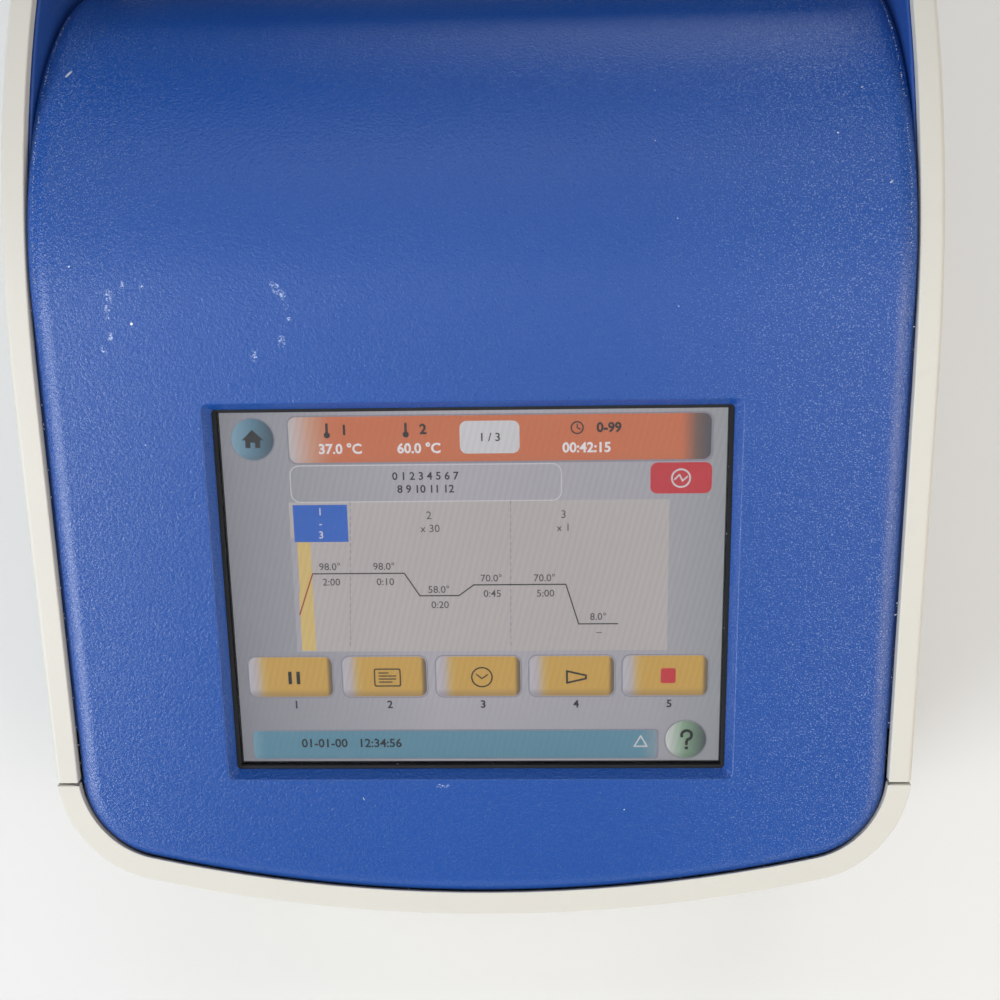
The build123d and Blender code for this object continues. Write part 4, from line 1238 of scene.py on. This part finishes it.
    def panel_circle(self, name: str, u: float, v: float, radius: float, stops: Sequence[tuple[float, Colour]]) -> None:
        """Round graded button with a ring.

        Args:
            name: the button's name.
            u: centre, across.
            v: centre, down.
            radius: its radius.
            stops: its colours from left to right, as (position, colour) pairs.
        """
        self.shape(self.mesh(Ink.LINE), self.circle(u, v, radius + 1.8), 1)
        self.graded(name, self.circle(u, v, radius), 2, GlowBand(f"lit_{name}", stops, 0.7))

    def build(self) -> None:
        """Draw the whole page and put each ink in the scene as one piece."""
        stops = ((0.0, srgb(136, 136, 144)), (0.10, srgb(150, 149, 157)), (0.42, srgb(178, 173, 181)),
                 (0.85, srgb(168, 165, 172)), (1.0, srgb(152, 154, 158)))
        paper = [(640.0, 0.0), (0.0, 0.0), (0.0, 480.0), (640.0, 480.0)]
        self.graded("page_paper", paper, 0, GlowBand("lit_paper_band", stops, 0.9))
        self.header()
        self.notes()
        self.graph()
        self.keys()
        self.footer()
        for ink, bm in self.meshes.items():
            name = f"page_{ink.name.lower()}"
            made = Forge.piece(name, bm, Glow(f"lit_{ink.name.lower()}", ink.value), Body.BASE)
            Forge.crisp(made, 30.0)


@dataclass
class CarriedNodes:
    """Nodes whose shape is right as it is: each gets its finish."""

    nodes: dict[str, bpy.types.Object]
    finishes: dict[str, Finish] = field(
        default_factory=lambda: {
            "screen_gasket": Palette.FOAM,
            "touch_glass": Palette.GLASS,
            "lcd_module": Palette.BLACK,
            "screen_bracket": Palette.STEEL,
            "bracket_screws": Palette.TURNED,
            "display_board": Palette.BOARD,
            "chassis_deck": Palette.STEEL,
            "chassis_side_left": Palette.STEEL,
            "chassis_side_right": Palette.STEEL,
            "block_seal": Palette.SILICONE,
            "peltier_modules": Palette.CERAMIC,
            "heat_sink": Palette.ALUMINIUM,
            "sink_posts": Palette.TURNED,
            "air_duct": Palette.GREY,
            "fan_frame": Palette.BLACK,
            "fan_rotor": Palette.BLACK,
            "base_pan": Palette.STEEL,
            "hinge_bracket_left": Palette.STEEL,
            "hinge_bracket_right": Palette.STEEL,
            "hinge_pin_left": Palette.TURNED,
            "hinge_pin_right": Palette.TURNED,
            "latch_strike_left": Palette.STEEL,
            "latch_strike_right": Palette.STEEL,
            "lid_frame": Palette.ALUMINIUM,
            "handle_axle": Palette.TURNED,
            "latch_shaft": Palette.TURNED,
            "latch_hook_left": Palette.STEEL,
            "latch_hook_right": Palette.STEEL,
            "heater_mat": Palette.SILICONE,
            "guide_posts": Palette.TURNED,
            "bow_springs": Palette.TURNED,
            "rear_panel": Palette.REAR,
            "power_supply": Palette.GREY,
            "main_board": Palette.BOARD,
            "board_standoffs": Palette.TURNED,
            "socket_board": Palette.BOARD,
            "mains_fuses": Palette.CERAMIC,
        }
    )

    def dress(self) -> None:
        """Give every listed node its material."""
        for name, finish in self.finishes.items():
            node = self.nodes[name]
            node.data.materials.clear()
            node.data.materials.append(finish.material())
            log.info("%s: finish %s", name, finish.name)


@dataclass
class SoftenedNodes:
    """Moulded and pressed pieces that take their shape from a node and get rounded edges.

    Widths of rounding are in millimetres; beside_from and foot_top are places on the object in metres.
    """

    nodes: dict[str, bpy.types.Object]
    body_names: dict[str, Body]
    frame: TiltedFrame
    rim_round: float = 1.3
    beside_from: float = 0.111
    foot_top: float = 0.013
    weld: float = 0.004
    flat_within: float = 0.6
    pieces: tuple[tuple[str, Finish, float], ...] = (
        ("front_bumper", Palette.RIM, 0.4),
        ("side_panel_left", Palette.RIM, 0.4),
        ("side_panel_right", Palette.RIM, 0.4),
        ("rear_top_cover", Palette.SHELL, 0.5),
        ("lid_well", Palette.WELL_BLUE, 0.5),
        ("lid_cover", Palette.SHELL, 0.5),
        ("lid_liner", Palette.GREY, 0.5),
        ("handle_lever", Palette.LEVER, 0.5),
        ("heated_plate", Palette.ALUMINIUM, 0.3),
        ("plate_carrier", Palette.BLACK, 0.4),
        ("mains_inlet", Palette.BLACK, 0.35),
        ("network_socket", Palette.BLACK, 0.25),
        ("usb_sockets", Palette.STEEL, 0.15),
        ("fuse_drawer", Palette.BLACK, 0.25),
        ("rocker_frame", Palette.BLACK, 0.3),
        ("power_rocker", Palette.BLACK, 0.4),
    )

    def on_inner_rim(self, edge: bmesh.types.BMEdge) -> bool:
        """Whether an edge is the rim's upper corner on the side of the blue panel.

        Beside the panel the corner goes on round the rear arc and down to the foot, so that its rounding
        doesn't end half-way round an arc, where it would tear the mesh.

        Args:
            edge: an edge of the front rim piece or of a side panel.

        Returns:
            True along the inner corner, and False at the seam and on hidden edges.
        """
        if len(edge.link_faces) != 2:
            return False
        middle = (edge.verts[0].co + edge.verts[1].co) / 2
        beside = abs(middle.x) > self.beside_from
        first, second = edge.link_faces
        for top, wall in ((first, second), (second, first)):
            level = top.normal.dot(self.frame.normal()) > 0.9
            outward = abs(top.normal.x) < 0.3 and top.normal.dot(middle - Vector((0.0, 0.0, 0.1))) > 0
            crosswise = abs(top.normal.dot(self.frame.uphill())) < 0.9
            round_back = beside and outward and crosswise and middle.z > self.foot_top
            facing = wall.normal.dot(self.frame.origin - middle) > 0 and abs(wall.normal.dot(top.normal)) < 0.3
            at_seam = beside and abs(wall.normal.x) < 0.5
            if (level or round_back) and facing and not at_seam:
                return True
        return False

    def copy(self, name: str, finish: Finish, width: float) -> bpy.types.Object:
        """A welded copy of a node with rounded creases.

        Args:
            name: the node.
            finish: the copy's finish.
            width: width of the rounding in millimetres.

        Returns:
            The piece that stands for the node.
        """
        bm = bmesh.new()
        bm.from_mesh(self.nodes[name].data)
        bmesh.ops.remove_doubles(bm, verts=bm.verts, dist=self.weld * MM)
        flat = math.radians(self.flat_within)
        bmesh.ops.dissolve_limit(
            bm, angle_limit=flat, verts=bm.verts, edges=bm.edges, use_dissolve_boundaries=False
        )
        bm.normal_update()
        weight = bm.edges.layers.float.new("bevel_weight_edge")
        for edge in bm.edges:
            edge[weight] = float(finish is Palette.RIM and self.on_inner_rim(edge))
        made = Forge.piece(f"{name}_shell", bm, finish, self.body_names[name])
        if finish is Palette.RIM:
            Forge.round_marked(made, self.rim_round)
        Forge.soften(made, width)
        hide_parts(name)
        return made

    def build(self) -> dict[str, bpy.types.Object]:
        """Make every softened piece.

        Returns:
            The pieces by the name of their node.
        """
        return {name: self.copy(name, finish, width) for name, finish, width in self.pieces}


@dataclass
class SampleBlock:
    """Six plated zones with round, tapered, slightly flared wells, in millimetres."""

    rows: int = 8
    columns: int = 2
    pitch: float = 9.0
    gap: float = 0.8
    mouth: float = 3.15
    depth: float = 14.6
    steps: int = 20

    def zone(self, bm: bmesh.types.BMesh, left: float, front: float, top: float, low: float) -> None:
        """One zone of wells.

        Args:
            bm: mesh that takes it.
            left: left side, in millimetres.
            front: front side.
            top: height of its face.
            low: height of its foot.
        """
        wide, deep = self.columns * self.pitch - self.gap, self.rows * self.pitch
        face_edges = []
        for column in range(self.columns):
            for row in range(self.rows):
                x = left - self.gap / 2 + self.pitch * (column + 0.5)
                y = front + self.pitch * (row + 0.5)
                face_edges += self.well(bm, x, y, top)
        corners = [(left, front), (left + wide, front), (left + wide, front + deep), (left, front + deep)]
        loops = [[Vector((x, y, z)) * MM for x, y in corners] for z in (low, top)]
        bottom, upper = Forge.rings(bm, loops, True)
        bm.faces.new(list(reversed(bottom)))
        edges = face_edges + [bm.edges.get((a, b)) for a, b in zip(upper, upper[1:] + upper[:1])]
        bmesh.ops.triangle_fill(bm, use_beauty=True, edges=edges)

    def well(self, bm: bmesh.types.BMesh, x: float, y: float, top: float) -> list[Any]:
        """One tapered well.

        Args:
            bm: mesh that takes it.
            x: middle of the well, across.
            y: middle of the well, to the back.
            top: height of the block's face.

        Returns:
            The edges of its mouth.
        """
        profile = ((self.mouth, 0.0), (self.mouth - 0.25, -0.35), (1.25, -12.0), (0.8, -13.6), (0.25, -self.depth))
        loops = [
            [Vector((x + r * math.cos(a), y + r * math.sin(a), top + z)) * MM for a in turns(self.steps)]
            for r, z in profile
        ]
        rows = Forge.rings(bm, loops, True)
        bm.faces.new(rows[-1])
        return [bm.edges.get((a, b)) for a, b in zip(rows[0], rows[0][1:] + rows[0][:1])]

    def build(self) -> bpy.types.Object:
        """Build all zones where the node has them.

        Returns:
            The block, which stands for its node.
        """
        low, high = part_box("sample_block")
        zones = round((high.x - low.x) / MM / (self.columns * self.pitch))
        front = (low.y + high.y) / 2 / MM - self.rows * self.pitch / 2
        bm = bmesh.new()
        for index in range(zones):
            left = low.x / MM + index * self.columns * self.pitch
            self.zone(bm, left, front, high.z / MM, low.z / MM)
        bmesh.ops.recalc_face_normals(bm, faces=bm.faces)
        made = Forge.piece("block_zones", bm, Palette.SILVER, Body.BASE)
        Forge.crisp(made, 30.0)
        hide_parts("sample_block")
        return made


@dataclass
class Feet:
    """Four rubber feet with a rolled lower edge and a screw recess."""

    radius: float = 12.0
    height: float = 12.0

    def build(self) -> bpy.types.Object:
        """Build the feet in the corners of their node's box.

        Each profile runs from the screw's recess over the rolled edge and up the side, in metres.

        Returns:
            The feet as one piece.
        """
        low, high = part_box("rubber_feet")
        tall, wide = self.height * MM, self.radius * MM
        bm = bmesh.new()
        for x in (low.x + wide, high.x - wide):
            for y in (low.y + wide, high.y - wide):
                profile = [(0.0012, 0.0045), (0.0040, 0.0045), (0.0042, 0.0003), (0.0048, 0.0)]
                profile += [(wide - 0.0022, 0.0), (wide - 0.0012, 0.0004), (wide - 0.0005, 0.0016)]
                profile += [(wide - 0.0003, 0.006), (wide - 0.0001, tall - 0.001), (wide - 0.0008, tall)]
                Forge.lathe(bm, profile, Matrix.Translation((x, y, 0.0)))
        bmesh.ops.recalc_face_normals(bm, faces=bm.faces)
        made = Forge.crisp(Forge.piece("foot_set", bm, Palette.RUBBER, Body.BASE), 40.0)
        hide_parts("rubber_feet")
        return made


@dataclass
class RearFittings:
    """Screws with washers' rims and round socket recesses, socket contacts, and the switch's two marks."""

    screw_radius: float = 3.4
    screw_height: float = 1.9
    screw_inset: float = 3.3
    contact_count: int = 8
    contact_pitch: float = 1.02
    rocker_pivot: Point2 = (0.237, 0.052)
    rocker_rest: float = 7.0
    face_slope: float = 15.0

    def screws(self) -> bpy.types.Object:
        """Button-head screws in the places of the cover screws' node.

        Returns:
            The screws as one piece.
        """
        low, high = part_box("cover_screws")
        middle = (low + high) / 2
        inset = self.screw_inset * MM
        bm = bmesh.new()
        r, h = self.screw_radius * MM, self.screw_height * MM
        profile = [(r, 0.0), (r, 0.25 * h), (0.92 * r, 0.62 * h), (0.70 * r, 0.90 * h), (0.48 * r, h)]
        profile += [(0.44 * r, 0.95 * h), (0.43 * r, 0.45 * h), (0.05 * r, 0.40 * h)]
        spread = (low.z + inset, middle.z + 3.0 * MM, high.z - inset)
        for x in (low.x + inset, high.x - inset):
            for z in spread:
                place = Matrix.Translation((x, low.y, z)) @ Matrix.Rotation(math.radians(-90), 4, "X")
                Forge.lathe(bm, profile, place, 24)
        bmesh.ops.recalc_face_normals(bm, faces=bm.faces)
        made = Forge.crisp(Forge.piece("rear_screws", bm, Palette.TURNED, Body.BASE), 40.0)
        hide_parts("cover_screws")
        return made

    def contacts(self) -> bpy.types.Object:
        """Sprung contacts in the roof of the network socket.

        Returns:
            The contacts as one piece.
        """
        low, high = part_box("network_socket")
        bm = bmesh.new()
        roof, back = high.z - 2.2 * MM, high.y - 3.0 * MM
        for index in range(self.contact_count):
            x = (low.x + high.x) / 2 + (index - (self.contact_count - 1) / 2) * self.contact_pitch * MM
            side = [(back, roof), (back - 7.0 * MM, roof - 3.4 * MM), (back - 7.6 * MM, roof - 3.2 * MM)]
            side += [(back - 0.8 * MM, roof + 0.1 * MM)]
            outline = [Vector((x - 0.2 * MM, y, z)) for y, z in side]
            Forge.plate(bm, outline, Vector((0.4 * MM, 0.0, 0.0)))
        bmesh.ops.recalc_face_normals(bm, faces=bm.faces)
        made = Forge.crisp(Forge.piece("socket_contacts", bm, Palette.GOLD, Body.BASE), 30.0)
        return made

    def marks(self) -> bpy.types.Object:
        """Raised bar and ring on the rocker's two faces.

        Returns:
            Both marks as one piece that rides on the rocker.
        """
        low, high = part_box("power_rocker")
        middle = (low + high) / 2
        tilt = Matrix.Rotation(math.radians(self.rocker_rest), 4, "X")
        bm = bmesh.new()
        pivot = Vector((middle.x, *self.rocker_pivot))
        for side, ring in ((1.0, False), (-1.0, True)):
            slope = math.radians(self.face_slope * side)
            face = Vector((0.0, (3.2 - 1.35) * MM, side * 5.2 * MM))
            turn = tilt @ Matrix.Translation(face) @ Matrix.Rotation(math.radians(-90.0) + slope, 4, "X")
            place = Matrix.Translation(pivot) @ turn
            if ring:
                profile = ((0.0011, -0.0002), (0.0011, 0.00012), (0.0016, 0.00012), (0.0016, -0.0002))
                loops = [circle_at(place, radius, height, 28) for radius, height in profile]
                Forge.rings(bm, loops + loops[:1], True)
            else:
                corners = ((-0.00028, -0.0016), (0.00028, -0.0016), (0.00028, 0.0016), (-0.00028, 0.0016))
                outline = [place @ Vector((x, y, -0.0002)) for x, y in corners]
                lift = place.to_3x3() @ Vector((0.0, 0.0, 0.00032))
                Forge.plate(bm, outline, lift)
        bmesh.ops.remove_doubles(bm, verts=bm.verts, dist=1e-6)
        bmesh.ops.recalc_face_normals(bm, faces=bm.faces)
        made = Forge.crisp(Forge.piece("rocker_marks", bm, Palette.CERAMIC, Body.ROCKER), 30.0)
        return made

    def build(self) -> None:
        """Build all fittings of the rear."""
        self.screws()
        self.contacts()
        self.marks()


@dataclass
class Dust:
    """Grains of dust and lint caught along the screen window, the creases and the nose.

    Each fibre is (x, run, length, width, angle) on the blue panel's sheet, in millimetres and degrees.
    """

    panel: BluePanel
    seed: int = 7
    cheek: float = 109.5
    nose_part: tuple[int, int] = (56, 86)
    fibres: tuple[tuple[float, float, float, float, float], ...] = (
        (-103.3, 141.4, 1.35, 0.36, 58.0),
        (-32.2, -58.6, 0.60, 0.14, 112.0),
        (99.0, 132.0, 0.40, 0.16, 20.0),
        (104.5, 106.0, 0.55, 0.22, 35.0),
        (61.0, 27.0, 0.50, 0.10, 75.0),
    )

    def lines(self) -> list[tuple[list[Vector], int, float]]:
        """Lines that catch dust.

        Returns:
            Rows of points, each with its number of grains and their size in millimetres.
        """
        frame, panel = self.panel.frame, self.panel
        wide, high = panel.window[0] / 2 - 0.6, panel.window[1] / 2 - 0.6
        corners = [(-wide, high), (-wide, -high), (wide, -high), (wide, high), (-wide, high)]
        window = [frame.at(x, up, 0.12) for x, up in corners]
        rows = [(window[:2], 10, 0.16), (window[1:3], 16, 0.16), (window[2:4], 20, 0.20), (window[3:], 6, 0.13)]
        edge = panel.half - panel.inset + 0.2
        for side in (-1, 1):
            crease = [panel.point(side * self.cheek, 84.0 + 3.0 * step, -1.0) for step in range(30)]
            rows.append((crease, 170, 0.09))
            gap = [panel.point(side * edge, run, -2.4) for run in (-45.0, 20.0, 80.0)]
            rows.append((gap, 16, 0.15))
        first, last = self.nose_part
        nose = [panel.point(x, run, -2.6) for x, run in panel.edge_row(panel.inset - 0.2)[first:last]]
        return rows + [(nose, 22, 0.14)]

    def build(self) -> bpy.types.Object:
        """Scatter the grains along the lines.

        Returns:
            All grains as one piece.
        """
        rng = random.Random(self.seed)
        bm = bmesh.new()
        for points, grains, size in self.lines():
            for _ in range(grains):
                place = rng.uniform(0.0, len(points) - 1.001)
                step = int(place)
                middle = points[step].lerp(points[step + 1], place - step)
                drift = Vector((rng.gauss(0.0, 0.12), rng.gauss(0.0, 0.12), rng.gauss(0.0, 0.05))) * MM
                grain = size * rng.uniform(0.45, 1.3)
                turn = Matrix.Rotation(rng.uniform(0.0, math.pi), 4, self.panel.frame.normal())
                stretch = Matrix.Diagonal((grain * rng.uniform(1.0, 2.4), grain, grain * 0.8, 1.0))
                matrix = Matrix.Translation(middle + drift) @ turn @ stretch
                bmesh.ops.create_icosphere(bm, subdivisions=1, radius=MM, matrix=matrix)
        for x, run, long, wide, angle in self.fibres:
            base = self.panel.point(x, run, 0.0)
            over, ahead = self.panel.point(x, run, 1.0) - base, self.panel.point(x, run + 1.0, 0.0) - base
            axes = Matrix([row.normalized() for row in (ahead.cross(over), ahead, over)]).transposed().to_4x4()
            matrix = Matrix.Translation(base) @ axes @ Matrix.Rotation(math.radians(angle), 4, "Z")
            matrix = matrix @ Matrix.Diagonal((long, wide, 0.12, 1.0))
            bmesh.ops.create_icosphere(bm, subdivisions=2, radius=MM, matrix=matrix)
        made = Forge.crisp(Forge.piece("caught_dust", bm, Palette.LINT, Body.BASE), 60.0)
        return made


@dataclass(frozen=True)
class Lamp:
    """One soft area lamp: where it hangs, its width and height in metres, its watts and its tint."""

    name: str
    place: Colour
    size: Point2
    power: float
    tint: Colour


@dataclass
class Studio:
    """Pale bench, soft lamps and the camera at the photograph's angle."""

    position: Colour = (0.018097, -0.278463, 0.489275)
    right: Colour = (0.99941, 0.00508, -0.03387)
    up: Colour = (0.00879, 0.91785, 0.39682)
    back: Colour = (0.03311, -0.39689, 0.91727)
    lens: float = 45.94
    sensor: float = 36.0
    aim: Colour = (0.0, -0.10, 0.15)
    lamps: tuple[Lamp, ...] = (
        Lamp("window_left", (-1.55, -1.25, 0.85), (0.8, 1.0), 30.0, (0.93, 0.97, 1.0)),
        Lamp("window_high", (-0.2, -1.37, 1.78), (2.4, 0.12), 7.0, (0.98, 0.99, 1.0)),
        Lamp("warm_right", (1.6, -1.10, 0.85), (0.9, 1.0), 18.0, (1.0, 0.88, 0.72)),
        Lamp("ceiling", (0.0, 0.35, 2.2), (1.6, 0.7), 7.0, (1.0, 0.99, 0.97)),
        Lamp("rear_fill", (0.35, 1.9, 0.55), (1.4, 0.7), 15.0, (0.97, 0.98, 1.0)),
    )

    def camera(self) -> None:
        """Put the camera where the photograph was taken."""
        data = bpy.data.cameras.new("camera")
        data.sensor_fit = "HORIZONTAL"
        data.sensor_width = self.sensor
        data.lens = self.lens
        data.clip_start = 0.01
        made = bpy.data.objects.new("camera", data)
        bpy.context.scene.collection.objects.link(made)
        turn = Matrix((self.right, self.up, self.back)).transposed()
        made.matrix_world = Matrix.Translation(self.position) @ turn.to_4x4()
        bpy.context.scene.camera = made

    def hang(self, lamp: Lamp) -> None:
        """Put a lamp in the scene, facing the instrument.

        Args:
            lamp: the lamp.
        """
        data = bpy.data.lights.new(lamp.name, "AREA")
        data.shape = "RECTANGLE"
        data.size, data.size_y = lamp.size
        data.energy = lamp.power
        data.color = lamp.tint
        made = bpy.data.objects.new(lamp.name, data)
        bpy.context.scene.collection.objects.link(made)
        made.location = lamp.place
        made.rotation_euler = (Vector(self.aim) - Vector(lamp.place)).to_track_quat("-Z", "Y").to_euler()

    def bench(self) -> None:
        """Wide flat bench under the feet."""
        bm = bmesh.new()
        bmesh.ops.create_grid(bm, x_segments=8, y_segments=8, size=6.0)
        mesh = bpy.data.meshes.new("bench")
        bm.to_mesh(mesh)
        bm.free()
        mesh.materials.append(Palette.FLOOR.material())
        made = bpy.data.objects.new("bench", mesh)
        bpy.context.scene.collection.objects.link(made)
        made.location = (0.0, 0.0, -0.0002)

    def world(self) -> None:
        """Surroundings: brightest high in front, softer near the bench, dim behind the lid."""
        world = bpy.data.worlds.new("surroundings")
        bpy.context.scene.world = world
        graph = Graph(world)
        toward = graph.node("ShaderNodeTexCoord", {}, {}, "Generated")
        height = graph.node("ShaderNodeSeparateXYZ", {}, {0: toward}, "Z")
        behind = graph.node("ShaderNodeSeparateXYZ", {}, {0: toward}, "Y").ramp(-0.15, 0.55)
        front = graph.mix(height.ramp(0.30, 0.62), (0.27, 0.28, 0.30), (0.54, 0.56, 0.58))
        back = graph.mix(height.ramp(0.66, 0.92), (0.05, 0.055, 0.07), (0.24, 0.24, 0.26))
        surface = graph.node("ShaderNodeBackground", {}, {"Color": graph.mix(behind, front, back), "Strength": 1.0})
        graph.node("ShaderNodeOutputWorld", {}, {"Surface": surface})

    def build(self) -> None:
        """Set up everything round the instrument."""
        self.camera()
        self.bench()
        self.world()
        for lamp in self.lamps:
            self.hang(lamp)
        bpy.context.scene.view_settings.view_transform = "Standard"


def body_of_nodes(record: dict[str, Any]) -> dict[str, Body]:
    """Body of each node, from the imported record."""
    groups = record["behaviour"]["bodies"]
    return {node: Body(body) for body, nodes in groups.items() for node in nodes}


def main() -> None:
    """Build every sub-assembly in turn."""
    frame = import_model()
    tilted = TiltedFrame.from_glass()
    bodies = body_of_nodes(frame["record"])
    Studio().build()
    CarriedNodes(frame["nodes"]).dress()
    SoftenedNodes(frame["nodes"], bodies, tilted).build()
    panel = BluePanel(tilted)
    panel.build()
    ScreenPage(tilted).build()
    Dust(panel).build()
    SampleBlock().build()
    Feet().build()
    RearFittings().build()
    log.info("%d finishes in use", len(Finish.made))


if __name__ == "__main__":
    logging.basicConfig(level=logging.INFO, format="%(message)s")
    main()
